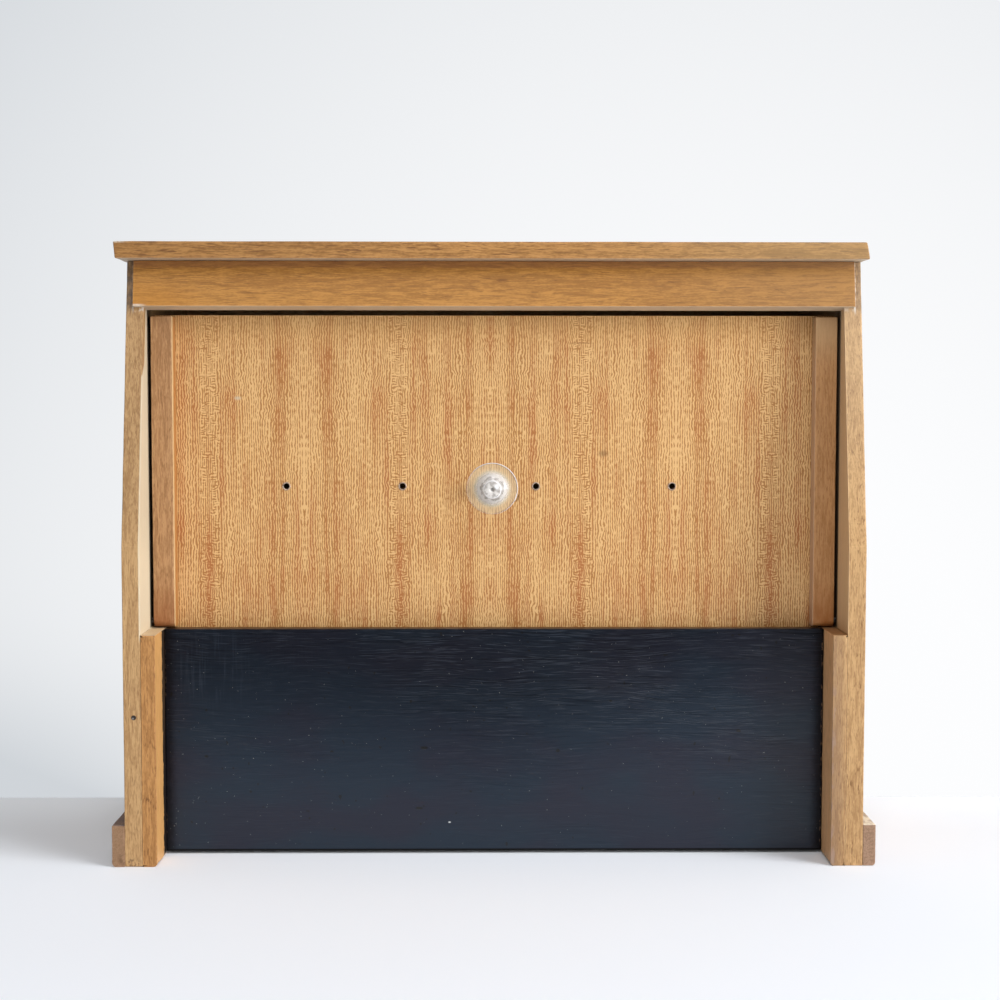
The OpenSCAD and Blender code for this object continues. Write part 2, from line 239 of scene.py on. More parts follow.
def turned(name, profile, places, aim, segments, loop=False, bulge=None):
    """A turned shape: P(s, a) = (r(s) cos a, r(s) sin a, h(s)), aimed by a matrix and set at each place.

    The profile is (r, h) down its length. Its ends lie on the axis, or it is a loop. bulge(r, a) is added to r.
    """
    profile = np.asarray(profile, float)
    angle = np.linspace(0, TURN, segments, endpoint=False)
    r = np.broadcast_to(profile[:, :1], (len(profile), segments)).copy()
    if bulge is not None:
        r = r + bulge(profile[:, :1], angle[None])
    h = np.broadcast_to(profile[:, 1:], r.shape)
    shape = np.stack([r * np.cos(angle), r * np.sin(angle), h], -1)
    if aim is not None:
        shape = shape @ np.array(aim.to_3x3()).T
    places = np.atleast_2d(np.asarray(places, float))
    return mesh_from_grid(name, shape[None] + places[:, None, None, :], tube=loop)


def eased(points, steps):
    """A smooth curve through points (Catmull-Rom): each stretch is the cubic whose end slopes are half the
    chord of its neighbours."""
    p = np.asarray(points, float)
    ends = np.concatenate([[2 * p[0] - p[1]], p, [2 * p[-1] - p[-2]]])
    t = np.linspace(0, 1, steps, endpoint=False)[:, None]
    stretches = [
        0.5 * (2 * b + (c - a) * t + (2 * a - 5 * b + 4 * c - d) * t**2 + (3 * b - a - 3 * c + d) * t**3)
        for a, b, c, d in zip(ends, ends[1:], ends[2:], ends[3:])
    ]
    return np.concatenate(stretches + [p[-1:]])


# ---------------------------------------------------------------- finishes


class Value:
    """What comes out of a shader node, for use in ordinary sums."""

    def __init__(self, finish, socket):
        self.finish = finish
        self.socket = socket

    def __add__(self, other):
        return self.finish.math("ADD", self, other)

    def __sub__(self, other):
        return self.finish.math("SUBTRACT", self, other)

    def __rsub__(self, other):
        return self.finish.math("SUBTRACT", other, self)

    def __mul__(self, other):
        return self.finish.math("MULTIPLY", self, other)

    def __truediv__(self, other):
        return self.finish.math("DIVIDE", self, other)

    def __abs__(self):
        return self.finish.math("ABSOLUTE", self)

    __radd__, __rmul__ = __add__, __mul__

    def band(self, low, high, to_low=0.0, to_high=1.0):
        """Eases from to_low to to_high while the value goes from low to high."""
        inputs = {"Value": self, "From Min": low, "From Max": high, "To Min": to_low, "To Max": to_high}
        return self.finish.get("MapRange", 0, inputs, interpolation_type="SMOOTHSTEP")

    def below(self, low, high):
        """1 while the value is below low, easing to 0 at high."""
        return self.band(low, high, 1.0, 0.0)

    def swing(self, amount):
        """How far a noise lies from its middle value, times an amount."""
        return (self - 0.5) * amount


class Finish:
    """Builds one material from shader nodes. Its colour is laid down tone by tone.

    Places, radii and depths are in metres, and a noise's scale is in cells per metre.
    """

    def __init__(self, name):
        self.material = bpy.data.materials.new(name)
        self.material.use_nodes = True
        self.tree = self.material.node_tree
        self.tree.nodes.clear()
        self.place = self.get("TexCoord", "Object")
        self.colour = None

    def add(self, kind, inputs=None, **settings):
        """A new node, with a value or a link at each input and its settings made."""
        node = self.tree.nodes.new("ShaderNode" + kind)
        for key, value in settings.items():
            setattr(node, key, value)
        for key, value in (inputs or {}).items():
            if isinstance(value, Value):
                self.tree.links.new(value.socket, node.inputs[key])
            else:
                node.inputs[key].default_value = value
        return node

    def get(self, kind, output, inputs=None, **settings):
        """What comes out of a new node."""
        return Value(self, self.add(kind, inputs, **settings).outputs[output])

    def math(self, operation, a, b=0.0, clamp=False):
        return self.get("Math", 0, {0: a, 1: b}, operation=operation, use_clamp=clamp)

    def stretch(self, scale, offset=(0, 0, 0), source=None):
        """Object coordinates, or the source's, times a scale along each axis, plus an offset."""
        return self.get("Mapping", 0, {"Vector": source or self.place, "Scale": scale, "Location": offset})

    def noise(self, scale, offset=(0, 0, 0), source=None, detail=2.0, roughness=0.5):
        """Noise over stretched coordinates."""
        inputs = {
            "Vector": self.stretch(scale, offset, source), "Scale": 1.0, "Detail": detail, "Roughness": roughness
        }
        return self.get("TexNoise", "Fac", inputs)

    def axes(self, source=None):
        """The three coordinates of a place."""
        node = self.add("SeparateXYZ", {0: source or self.place})
        return [Value(self, socket) for socket in node.outputs]

    def point(self, x, y, z):
        """The place that has these coordinates."""
        return self.get("CombineXYZ", 0, {0: x, 1: y, 2: z})

    def away(self, centre, shape=(1, 1, 1)):
        """The way from a centre, squeezed along each axis by shape, and how long it is."""
        way = self.stretch(shape, tuple(-c * s for c, s in zip(centre, shape)))
        return way, self.get("VectorMath", "Value", {0: way}, operation="LENGTH")

    def near(self, centre, radius, soft, shape=(1, 1, 1)):
        """1 within radius of a centre and 0 beyond radius + soft, with the distance squeezed by shape."""
        return self.away(centre, shape)[1].below(radius, radius + soft)

    def mix(self, amount, a, b):
        """Colour a, with b over it as strongly as the amount."""
        a, b = (tone if isinstance(tone, Value) else (*tone, 1) for tone in (a, b))
        return self.get("Mix", 2, {0: amount, 6: a, 7: b}, data_type="RGBA")

    def lay(self, tone, amount):
        """Lays a tone over the colour so far, as strongly as the amount."""
        self.colour = self.mix(amount, self.colour, tone)

    def spot(self, tone, amount, *place):
        """Lays a tone near a place."""
        self.lay(tone, self.near(*place) * amount)

    def bump(self, height, distance, strength):
        return self.get("Bump", 0, {"Height": height, "Distance": distance, "Strength": strength})

    def surface(self, **inputs):
        """Ends the material with a surface that has these inputs, and gives it back."""
        shader = self.get("BsdfPrincipled", 0, {key.replace("_", " "): value for key, value in inputs.items()})
        self.add("OutputMaterial", {"Surface": shader})
        return self.material


def stretched(grain, across, along):
    """Scale of a pattern that is drawn out along the grain's axis."""
    return tuple(along if axis == grain else across for axis in "XYZ")


def wood(
    name, grain, colours, tone, seed, flecks, fleck_length=130, waves=0.0012, extra=None, gloss=0.46, arris_light=0.25
):
    """Varnished hardwood: broad tone, streaks and dark flecks along the grain, and worn arrises.

    The tone names its pale and deep colours, and extra lays this board's own marks over them.
    """
    finish = Finish(name)
    pale, deep = getattr(colours, tone + "_pale"), getattr(colours, tone + "_deep")
    offset = tuple(np.random.default_rng(seed).uniform(-3, 3, 3))
    # the grain sways to either side
    shift = finish.noise(stretched(grain, 70, 34), offset).swing(2 * waves)
    aside = finish.point(*(0.0 if axis == grain else shift for axis in "XYZ"))
    path = finish.get("VectorMath", 0, {0: finish.place, 1: aside}, operation="ADD")
    broad = finish.noise(stretched(grain, 60, 7), offset, path, detail=3, roughness=0.55)
    streak = finish.noise(stretched(grain, 560, 48), offset, path, detail=3, roughness=0.62)
    fine = finish.noise(stretched(grain, 1300, 110), offset, path, roughness=0.6)
    fibre = finish.noise(stretched(grain, 1500, 600), offset, detail=0)
    blend = 0.5 + broad.swing(0.55) + streak.swing(0.9) + fine.swing(1.0) + fibre.swing(0.28)
    finish.colour = finish.mix(blend.band(0.28, 0.72), pale, deep)
    # short dark flecks, thicker in some places than in others
    dash = finish.noise(stretched(grain, 1650, 1.7 * fleck_length), offset, path, detail=1.0)
    where = finish.noise(stretched(grain, 160, 40), offset, detail=1.0)
    dashes = dash.band(0.60, 0.66) * where.band(0.30, 0.65, 0.5, 1.0)
    finish.lay(colours.fleck, dashes * flecks)
    # worn arrises
    arris = finish.get("Attribute", "Fac", attribute_name="arris")
    rubbed = finish.noise((260, 260, 260), offset).band(0.35, 0.6)
    finish.lay(tuple(min(1.0, c * 1.4 + 0.04) for c in pale), arris * rubbed * arris_light)
    if extra is not None:
        extra(finish)
    height = streak + fine * 0.5 - dashes * 0.8
    return finish.surface(
        Base_Color=finish.colour,
        Roughness=gloss + broad.swing(0.25),
        Normal=finish.bump(height, 0.00010, 0.3),
        Specular_IOR_Level=0.35,
    )


def print_pattern(finish, light, ink, red):
    """Lays down the flap's printed wood grain and gives how much ink each place has.

    The print mirrors itself about upright lines: u is the distance from one of them, folded back at the
    next, one repeat away. Upright strokes are the crests of a wave across u whose phase wanders, broken up by a
    noise that is drawn out upright. In the ladder bands, half way between the lines, the crests lie level.
    """
    repeat, start = 0.1115, 0.0025
    x, _, z = finish.axes()
    u = finish.math("PINGPONG", x + (start + 4 * repeat), repeat)
    flat = finish.point(u, 0.0, z)

    def drift(scale, offset, amount, detail=1.0):
        """Noise across and up the folded print, which swings to either side of nought."""
        return finish.noise((scale[0], 1, scale[1]), (offset, 0, 2.3 * offset), flat, detail=detail).swing(amount)

    axis = finish.math("MINIMUM", u, repeat - u)
    curl = finish.get(
        "Mix", 0, {0: drift((55, 30), 4.4, 2.0, 2).band(-0.15, 0.35), 2: 0.8, 3: 2.4}, data_type="FLOAT"
    )
    wobble = drift((170, 210), 1.7, 1.0, 1.5) * curl
    phase = u * 700.0 + drift((90, 22), 3.1, 3.0) + wobble
    upright = finish.math("SINE", phase * TURN)
    level = z * 600.0 + drift((160, 160), 8.1, 2.6)
    rung = finish.math("SINE", level * TURN)
    # ladder bands
    off_centre = abs(u - 0.0553)
    patchy = drift((300, 170), 2.2, 1.0, 1.5).band(-0.04, 0.10, 0.0, 0.85)
    ladder = off_centre.below(0.0040, 0.0072) * patchy
    crest = finish.get("Mix", 0, {0: ladder, 2: upright, 3: rung}, data_type="FLOAT")
    stroke = crest * 0.75 + drift((950, 400), 7.7, 4.0, 2)
    # broad upright streaks carry more ink, and the mirror lines less
    streak = drift((190, 6), 9.1, 1.0, 2.5)
    cloud = drift((75, 30), 5.5, 1.0, 2)
    strand = drift((430, 45), 6.6, 1.0)
    load = stroke + cloud + streak * 1.4 + strand * 1.3 + off_centre.below(0.0055, 0.0080) * 0.16
    load = load + axis.band(0.003, 0.008, -0.16, 0.0) + abs(axis - 0.0145).band(0.002, 0.008, 0.28, 0.0)
    inked = load.band(-0.32, 0.52)
    warm = (cloud * 0.6 + streak).band(-0.10, 0.32)
    finish.colour = finish.mix(inked, finish.mix(warm * 0.35, light, red), finish.mix(warm, ink, red))
    return inked


def printed_panel(colours):
    """Printed wood grain under a satin lacquer, with dust, a few scuffs and painted light towards its top."""
    finish = Finish("printed_panel")
    inked = print_pattern(finish, colours.print_light, colours.print_ink, colours.print_red)
    _, y, z = finish.axes()
    # only the two broad faces are printed; the edges are plain board
    core = finish.mix(finish.noise((900, 900, 900)), srgb(150, 112, 74), srgb(96, 68, 42))
    finish.lay(core, abs(y - (PANEL_Y + 0.0025)).below(0.0023, 0.00249))
    # dust and scuffs
    finish.spot(srgb(186, 176, 158), 0.6, (-0.1535, PANEL_Y, 0.2725), 0.0003, 0.0018, (0.7, 0.2, 1.3))
    finish.spot(srgb(120, 84, 48), 0.6, (0.0655, PANEL_Y, 0.2395), 0.0006, 0.0030, (0.8, 0.2, 1.2))
    finish.spot(srgb(136, 86, 40), 0.5, (0.0515, PANEL_Y, 0.3055), 0.0055, 0.0040, (1.0, 0.2, 16.0))
    # painted light: lighter towards its top, against the shade under the rail
    finish.lay(srgb(240, 180, 104), z.band(0.296, 0.320, 0.0, 0.16))
    # the milky cast of the cup's skirt, which is pressed flat on it
    _, away = finish.away((CUP_X, 0, CUP_Z), (1, 0, 1))
    cast = away.band(0.0088, 0.0130, 0.85, 0.33) * away.below(0.0148, 0.0153)
    finish.lay(srgb(215, 201, 168), cast * y.below(PANEL_Y + 0.0012, PANEL_Y + 0.0022))
    height = finish.noise((240, 240, 60), detail=3)
    return finish.surface(
        Base_Color=finish.colour,
        Roughness=height.band(0.3, 0.7, 0.36, 0.50),
        Normal=finish.bump(inked * 0.3 + height, 0.00006, 0.2),
        Specular_IOR_Level=0.35,
    )


def brushed_paint(colours):
    """Blue-black satin paint, brushed sideways, with ridges, dust, pinholes and bare edges, with painted highlights
    and shade on its ridges and painted shade towards its top and along its foot.
    """
    finish = Finish("blue_black_paint")
    x, y, z = finish.axes()
    sway = finish.noise((14, 14, 40), (0.3, 0, 0.8), detail=1)
    path = finish.point(x, y, z + sway.swing(0.011))
    ridge = finish.noise((30, 30, 1250), source=path, detail=2.5, roughness=0.6)
    broken = finish.noise((80, 80, 1900), (2, 0, 5), path, detail=1.5)
    where = finish.noise((9, 9, 18), (6, 0, 1))
    # the ridges are strongest towards the upper right and fade downwards
    rise = z * 5.5 + x * 0.55 - 0.25
    heavy = where.band(0.34, 0.62, 0.4, 1.0) * rise.band(-0.1, 0.45, 0.2, 1.0)
    thin = broken.band(0.52, 0.72) - ridge.band(0.35, 0.60, 0.6, 0.0)
    # upright strokes in the upper left corner
    cross = finish.noise((620, 620, 34), (1, 0, 4), path, detail=2.5)
    corner = finish.near((-0.150, PAINT_Y, 0.118), 0.018, 0.040, (0.8, 0.2, 1.5))
    height = (thin * 0.8 + ridge) * heavy
    height = cross * corner * 0.8 + height
    # darker and less glossy above and in the middle, lighter below and to both sides: the darkening is painted shade,
    # where the paint reflects less of the floor's light
    side = abs(x)
    depth = z - x * 0.080 - side * 0.150
    tint = finish.noise((15, 15, 28), (3, 1, 2), detail=2.5)
    finish.colour = finish.mix(tint.band(0.40, 0.64), colours.paint, colours.paint_warm)
    finish.lay(srgb(5, 5, 9), depth.band(0.03, 0.12, 0.0, 0.62))
    # painted highlights on the raised ridges and the upright strokes, and painted shade between the ridges
    light = broken.band(0.55, 0.70) * heavy
    finish.lay(colours.paint_ridge_highlight, light * 0.26)
    crossed = cross.band(0.50, 0.68) * finish.near((-0.168, PAINT_Y, 0.112), 0.008, 0.022, (1.0, 0.2, 0.9))
    finish.lay(colours.paint_ridge_highlight, crossed * 0.20)
    dark = ridge.below(0.32, 0.48) * heavy
    finish.lay(srgb(7, 8, 12), dark * 0.6)
    gloss = depth.band(0.010, 0.120, 0.46, 0.15) * (1.0 + (light - dark) * 0.42)
    # a few motes of dust and pinholes, and three larger pits
    dust = finish.noise((1500, 1500, 1500), (4, 4, 4), detail=0)
    near_side = abs(x + 0.188).band(0.0, 0.03, 0.874, 0.900)
    specks = finish.math("GREATER_THAN", dust, near_side)
    finish.lay(srgb(176, 176, 168), specks * 0.6)
    pits = finish.noise((330, 330, 330), (8, 4, 2), detail=0).band(0.845, 0.865)
    finish.lay(srgb(8, 8, 9), pits)
    for centre, radius, shape in (
        ((-0.1720, PAINT_Y, 0.0590), 0.0006, (0.8, 0.2, 1.3)),
        ((-0.0420, PAINT_Y, 0.0640), 0.0008, (0.5, 0.2, 1.2)),
        ((-0.0450, PAINT_Y, 0.0275), 0.0007, (0.5, 0.2, 1.2)),
    ):
        pit = finish.near(centre, radius, 0.0006, shape)
        finish.lay(srgb(7, 7, 9), pit)
        height = height - pit * 0.8
    finish.spot(srgb(215, 215, 212), 1.0, (-0.0268, PAINT_Y, 0.0190), 0.0001, 0.0005, (0.55, 0.2, 1.0))
    # browner next to the linings, painted shade along its foot, where it stands just clear of the floor, and bare at
    # the back of its top edge
    chip = finish.noise((420, 420, 260), (1, 1, 1), detail=3)
    brown = (chip * 0.003 + side).band(0.1895, 0.1975)
    finish.lay(srgb(20, 15, 13), brown * 0.8)
    # painted shade along its foot
    foot = z.below(0.0026, 0.0034)
    finish.lay(srgb(9, 8, 8), foot)
    gloss = gloss * (1.0 - finish.math("MAXIMUM", brown, foot) * 0.75)
    finish.lay(srgb(92, 62, 38), z.band(0.1350, 0.1353) * (y + chip.swing(0.004)).band(-0.0528, -0.0520))
    # chips at the ends of the coat, where it was scraped off the linings
    ragged = finish.noise((700, 700, 420), (5, 2, 6), detail=3, roughness=0.65)
    edge = side.band(0.1950, 0.1962) * ragged.band(0.52, 0.60)
    patches = finish.noise((40, 40, 26), (2, 6, 1)).band(0.42, 0.55)
    finish.lay(srgb(176, 142, 108), edge * patches * x.band(-0.1, 0.1, 0.25, 0.7))
    return finish.surface(
        Base_Color=finish.colour,
        Roughness=ridge.band(0.3, 0.7, 0.30, 0.40),
        Normal=finish.bump(height, 0.00030, 0.7),
        Specular_IOR_Level=gloss,
    )


def plain_metal(name, tint, shade, roughness, seed, metallic=0.85):
    """Dull metal with a slight tarnish and fine scratches."""
    finish = Finish(name)
    tarnish = finish.noise((700, 700, 700), (seed, 0, 0), detail=3)
    scratch = finish.noise((4000, 600, 4000), (0, seed, 0))
    return finish.surface(
        Base_Color=finish.mix(tarnish.band(0.35, 0.65), tint, shade),
        Metallic=metallic,
        Roughness=tarnish.band(0.3, 0.7, roughness, roughness + 0.15),
        Normal=finish.bump(scratch, 0.00003, 0.4),
    )


def clear_vinyl(colours, centre):
    """Clear soft vinyl: mottled in its knob, milky round it and nearly clear in its skirt, with painted highlights on
    its knob and rim and painted shade in its groove and dimple.
    """
    finish = Finish("clear_vinyl")
    way, distance = finish.away(centre, (1, 0, 1))
    x, _, z = finish.axes(way)
    ripple = finish.noise((430, 430, 430), detail=3, roughness=0.6)
    swirl = distance + ripple.swing(0.0026)
    milky, dark, highlight_white = colours.vinyl, srgb(112, 104, 92), (0.96, 0.96, 0.96)
    # the knob is mottled; the groove round it has broken dark arcs of painted shade, and the knob has a bright
    # outline and a glint, which are painted highlights
    knob = swirl.below(0.0070, 0.0078)
    finish.colour = finish.mix(knob * ripple.band(0.40, 0.60, 0.55, 0.0), milky, dark)
    shade_arcs = finish.math("SINE", swirl * (TURN / 0.00125))
    groove = distance.band(0.0050, 0.0056) * distance.below(0.0068, 0.0078)
    finish.lay(dark, groove * shade_arcs.band(0.1, 0.9, 0.0, 0.42))
    outline = abs(distance - 0.0052).band(0.00015, 0.0005, 0.75, 0.0)
    painted_glint = finish.near((centre[0] + 0.0027, centre[1], centre[2] + 0.0017), 0.0004, 0.0013, (1.0, 0.0, 0.8))
    finish.lay(highlight_white, finish.math("MAXIMUM", outline, painted_glint))
    # painted shade in the dimple in its middle
    finish.lay(srgb(104, 102, 98), distance.band(0.0006, 0.0014, 0.75, 0.0))
    # how much of the light it stops
    haze = (distance + ripple.swing(0.0018)).band(0.0062, 0.0116, 0.82, 0.0)
    # a painted highlight round its rim, stronger towards the upper right, where the light falls
    rim = abs(distance - 0.01528).below(0.0001, 0.00042) * (x + z).band(-0.018, 0.018, 0.12, 0.47)
    finish.lay(highlight_white, distance.band(0.0146, 0.0149))
    return finish.surface(
        Base_Color=finish.colour,
        Roughness=0.24,
        IOR=1.47,
        Alpha=finish.math("MAXIMUM", haze, rim, clamp=True),
        Normal=finish.bump(ripple * knob, 0.00010, 0.4),
        Specular_IOR_Level=0.5,
    )


# ---------------------------------------------------------------- settings


def colour_property(name, description, default):
    return bpy.props.FloatVectorProperty(
        name=name, description=description, default=default, subtype="COLOR", size=3, min=0.0, max=1.0
    )


def length_property(name, description, default, low, high):
    return bpy.props.FloatProperty(
        name=name, description=description, default=default, min=low, max=high, unit="LENGTH", precision=5
    )


def power_property(name, description, default):
    return bpy.props.FloatProperty(name=name, description=description, default=default, min=0.0, unit="POWER")


class BOBBINBOX_PG_boards(bpy.types.PropertyGroup):
    arris: length_property("Arris", "Radius of the boards' worn edges", 0.0006, 0.0001, 0.0015)
    wear: bpy.props.FloatProperty(
        name="Wear", description="How unevenly the arrises are worn", default=0.45, min=0.0, max=0.8, subtype="FACTOR"
    )
    mesh_step: length_property("Mesh step", "Spacing of the rows along a board", 0.005, 0.002, 0.02)


class BOBBINBOX_PG_colours(bpy.types.PropertyGroup):
    golden_pale: colour_property("Golden wood", "Pale tone of the sides", srgb(190, 151, 102))
    golden_deep: colour_property("Golden wood, deep", "Deep tone of the sides", srgb(160, 121, 77))
    top_pale: colour_property("Top board", "Pale tone of the top board", srgb(175, 126, 69))
    top_deep: colour_property("Top board, deep", "Deep tone of the top board", srgb(135, 92, 43))
    orange_pale: colour_property("Orange wood", "Pale tone of the rail", srgb(181, 127, 58))
    orange_deep: colour_property("Orange wood, deep", "Deep tone of the rail", srgb(150, 101, 41))
    lining_pale: colour_property("Left lining", "Pale tone of the left lining", srgb(187, 135, 78))
    lining_deep: colour_property("Left lining, deep", "Deep tone of the left lining", srgb(158, 109, 58))
    stile_pale: colour_property("Stile", "Pale tone of the flap's stiles", srgb(176, 133, 89))
    stile_deep: colour_property("Stile, deep", "Deep tone of the flap's stiles", srgb(148, 106, 66))
    foot_pale: colour_property("Foot rail", "Pale tone of the foot rails", srgb(156, 124, 99))
    foot_deep: colour_property("Foot rail, deep", "Deep tone of the foot rails", srgb(133, 103, 79))
    plain_pale: colour_property("Plain wood", "Pale tone of the boards inside", srgb(206, 174, 130))
    plain_deep: colour_property("Plain wood, deep", "Deep tone of the boards inside", srgb(178, 142, 98))
    fleck: colour_property("Fleck", "Colour of the dark flecks in the wood", srgb(100, 60, 26))
    paint: colour_property("Paint", "Blue-black paint", srgb(9, 27, 42))
    paint_warm: colour_property("Paint, warm", "Warmer patches of the paint", srgb(18, 22, 38))
    # painted highlight along the brushed ridges
    paint_ridge_highlight: colour_property("Paint, light", "Brushed streaks of the paint", srgb(58, 66, 78))
    print_light: colour_property("Print", "Ground of the flap's printed grain", srgb(212, 169, 112))
    print_ink: colour_property("Print ink", "Lines of the printed grain", srgb(163, 112, 58))
    print_red: colour_property("Print, red", "Lines of the redder streaks", srgb(163, 98, 49))
    vinyl: colour_property("Vinyl", "Clear vinyl of the suction cup", (0.76, 0.71, 0.65))
    steel: colour_property("Steel", "Pins and nails", srgb(168, 166, 160))
    eyelet: colour_property("Eyelet", "Eyelets in the flap", srgb(190, 166, 144))


class BOBBINBOX_PG_studio(bpy.types.PropertyGroup):
    window_low: power_property("Window, low part", "Soft light from the right, near the floor", 61.0)
    window_high: power_property("Window, high part", "Soft light from the right, from above", 27.0)
    window_turn: bpy.props.FloatProperty(
        name="Window turn", description="How far the window stands in front of the right side",
        default=math.radians(30), subtype="ANGLE",
    )
    front_fill: power_property("Front fill", "Soft light from the front", 22.0)
    room: bpy.props.FloatProperty(name="Room light", description="Strength of the even light", default=0.38, min=0.0)
    floor: colour_property("Floor", "Floor", (0.905, 0.922, 0.94))


class BOBBINBOX_PG_settings(bpy.types.PropertyGroup):
    boards: bpy.props.PointerProperty(type=BOBBINBOX_PG_boards)
    colours: bpy.props.PointerProperty(type=BOBBINBOX_PG_colours)
    studio: bpy.props.PointerProperty(type=BOBBINBOX_PG_studio)


# ---------------------------------------------------------------- pieces


def corners_of(node):
    """A CAD node's low and high corners as arrays."""
    low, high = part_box(node)
    return np.array(low), np.array(high)


def rectangle(low, high):
    """The four corners between two opposite ones."""
    return [(low[0], low[1]), (high[0], low[1]), (high[0], high[1]), (low[0], high[1])]


def plank(node, axis, sizes, seed, **options):
    """A rectangular board in a CAD node's box, with its length along an axis."""
    low, high = corners_of(node)
    *across, along = AXES[axis]
    outline = rectangle(low[across], high[across])
    return board(node + "_dressed", axis, low[along], high[along], outline, sizes, seed, **options)


def dress(piece, material, body, node):
    """Gives a piece its material and body, and hides the CAD node that it stands for."""
    piece.data.materials.append(material)
    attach(piece, body)
    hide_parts(node)


# ---------------------------------------------------------------- the box


# The sides' front edges lean back above the kink; the rail's low edge is measured up the lean.
LEAN_Y, KINK_Z, SIDE_TOP = 0.026, 0.187, 0.3526
LEAN = math.atan2(LEAN_Y, SIDE_TOP - KINK_Z)
RAIL_H, RAIL_T, RAIL_PROUD = 0.0276, 0.012, 0.0032
# A mark on the front faces ends between the two depths of FRONT_SKIN, one on the linings' tops begins between
# the two heights of LINING_TOP, and one above the linings between those of ABOVE_LINING.
FRONT_SKIN = FRONT_Y + 0.0004, FRONT_Y + 0.0010
LINING_TOP = 0.1352, 0.1355
ABOVE_LINING = 0.1358, 0.1364


def on_lean(y, z):
    """The point of the Y-Z plane that lies y behind the leaning front edges and z up along them."""
    return FRONT_Y + y * math.cos(LEAN) + z * math.sin(LEAN), KINK_Z - y * math.sin(LEAN) + z * math.cos(LEAN)


def lean_top(y):
    """How far up the lean the sides' tops are, y behind the front edges."""
    return (SIDE_TOP - KINK_Z + y * math.sin(LEAN)) / math.cos(LEAN)


RAIL_LOW = lean_top(0) - RAIL_H


def up_lean(finish):
    """A place's distance up the leaning front edges, as a shader value."""
    _, y, z = finish.axes()
    return (z - KINK_Z) * math.cos(LEAN) + (y - FRONT_Y) * math.sin(LEAN)


def shade_beside_rail(finish, seam_highlight, darkening):
    """Painted shade with grime on a side's front edge next to the rail's end, which shadows it, a painted highlight
    along that end, and glue squeezed out of the joint.
    """
    x, y, _ = finish.axes()
    x = abs(x)
    up = up_lean(finish)
    front = y.below(-0.0585, -0.0575)
    outer = x.band(0.2104, 0.2108)
    here = front * outer * up.band(RAIL_LOW - 0.0050, RAIL_LOW + 0.0010)
    mottle = finish.noise((520, 520, 260), (5, 1, 3), detail=3, roughness=0.65)
    # painted shade, with grime, on the strip of edge that the rail's end shadows
    finish.lay(srgb(92, 78, 66), here * mottle.band(0.30, 0.70, 0.35 * darkening, darkening))
    # a pale line beside the rail's end: painted highlight
    finish.lay(srgb(222, 216, 204), here * (x + mottle.swing(0.0012)).below(0.2113, 0.2118) * seam_highlight)
    # glue smeared below the rail's end
    smear = mottle.band(0.46, 0.60) * (1.0 - outer)
    below_rail = up.band(RAIL_LOW - 0.0034, RAIL_LOW - 0.0008)
    finish.lay(srgb(206, 196, 182), front * below_rail * smear * darkening * darkening)


def seam_shade(finish, inner):
    """Painted shade on a side's inner face, in the narrow seam beside the closed flap."""
    _, y, z = finish.axes()
    seam = y.band(-0.0560, -0.0525) * y.below(-0.0490, -0.0370)
    finish.lay(srgb(30, 20, 14), seam * inner * z.band(*ABOVE_LINING) * 0.9)


def lining_face(finish, tone, amount, grain, grain_amount, ragged, back, paint):
    """A lining's inner face, with its own tone and upright grain, and the paint that has run over its back."""
    x, y, _ = finish.axes()
    face = abs(x).below(0.1963, 0.1968) * y.band(*FRONT_SKIN)
    finish.lay(tone, face * amount)
    dash = finish.noise((1, 900, 130), (3, 8, 2), roughness=0.6)
    finish.lay(grain, dash.band(0.44, 0.64) * face * grain_amount)
    chip = finish.noise((420, 420, 230), (2, 1, 5), detail=3)
    finish.lay(paint, face * (y + chip.swing(ragged)).band(back, back + 0.0006))


def left_side_wood(colours):
    def marks(finish):
        x, y, z = finish.axes()
        # the inner face was never stained, and is pale as far back as the flap
        inner = x.band(-0.2057, -0.2051)
        bare = inner * z.band(0.13, 0.136) * y.below(-0.054, -0.046)
        # near the top the stain reaches a little way in
        behind = y - FRONT_Y - (z - KINK_Z) * math.tan(LEAN)
        reach = z.band(0.283, 0.294, 0.0, 0.0062)
        finish.lay(srgb(226, 211, 180), bare * (behind - reach).band(-0.0014, 0.0) * 0.85)
        # painted shade in the seam beside the closed flap
        seam_shade(finish, inner)
        # a nail's head in its hole, and a scratch
        finish.spot(srgb(44, 34, 28), 1.0, (-0.2090, FRONT_Y, 0.0877), 0.0013, 0.0003)
        finish.spot(srgb(120, 116, 112), 1.0, (-0.2094, FRONT_Y, 0.0872), 0.0004, 0.0004)
        finish.spot(srgb(110, 88, 62), 0.6, (-0.2125, FRONT_Y, 0.2232), 0.0, 0.0016, (0.25, 0.2, 2.5))
        # a blot at the foot
        blot = finish.noise((520, 520, 420), (4, 1, 7)).band(0.46, 0.60)
        foot = finish.near((-0.2102, FRONT_Y, 0.0026), 0.0012, 0.0030, (0.7, 0.2, 1.1))
        finish.lay(srgb(92, 62, 42), blot * foot * 0.7)
        # darker above the kink
        finish.lay(srgb(70, 42, 18), z.band(0.165, 0.215, 0.0, 0.14))
        # painted shade and grime beside the rail's end, with a faint painted highlight
        shade_beside_rail(finish, 0.3, 0.9)

    return wood(
        "left_side_wood", "Z", colours, "golden", 11, flecks=0.42, fleck_length=125, extra=marks, arris_light=0.12
    )


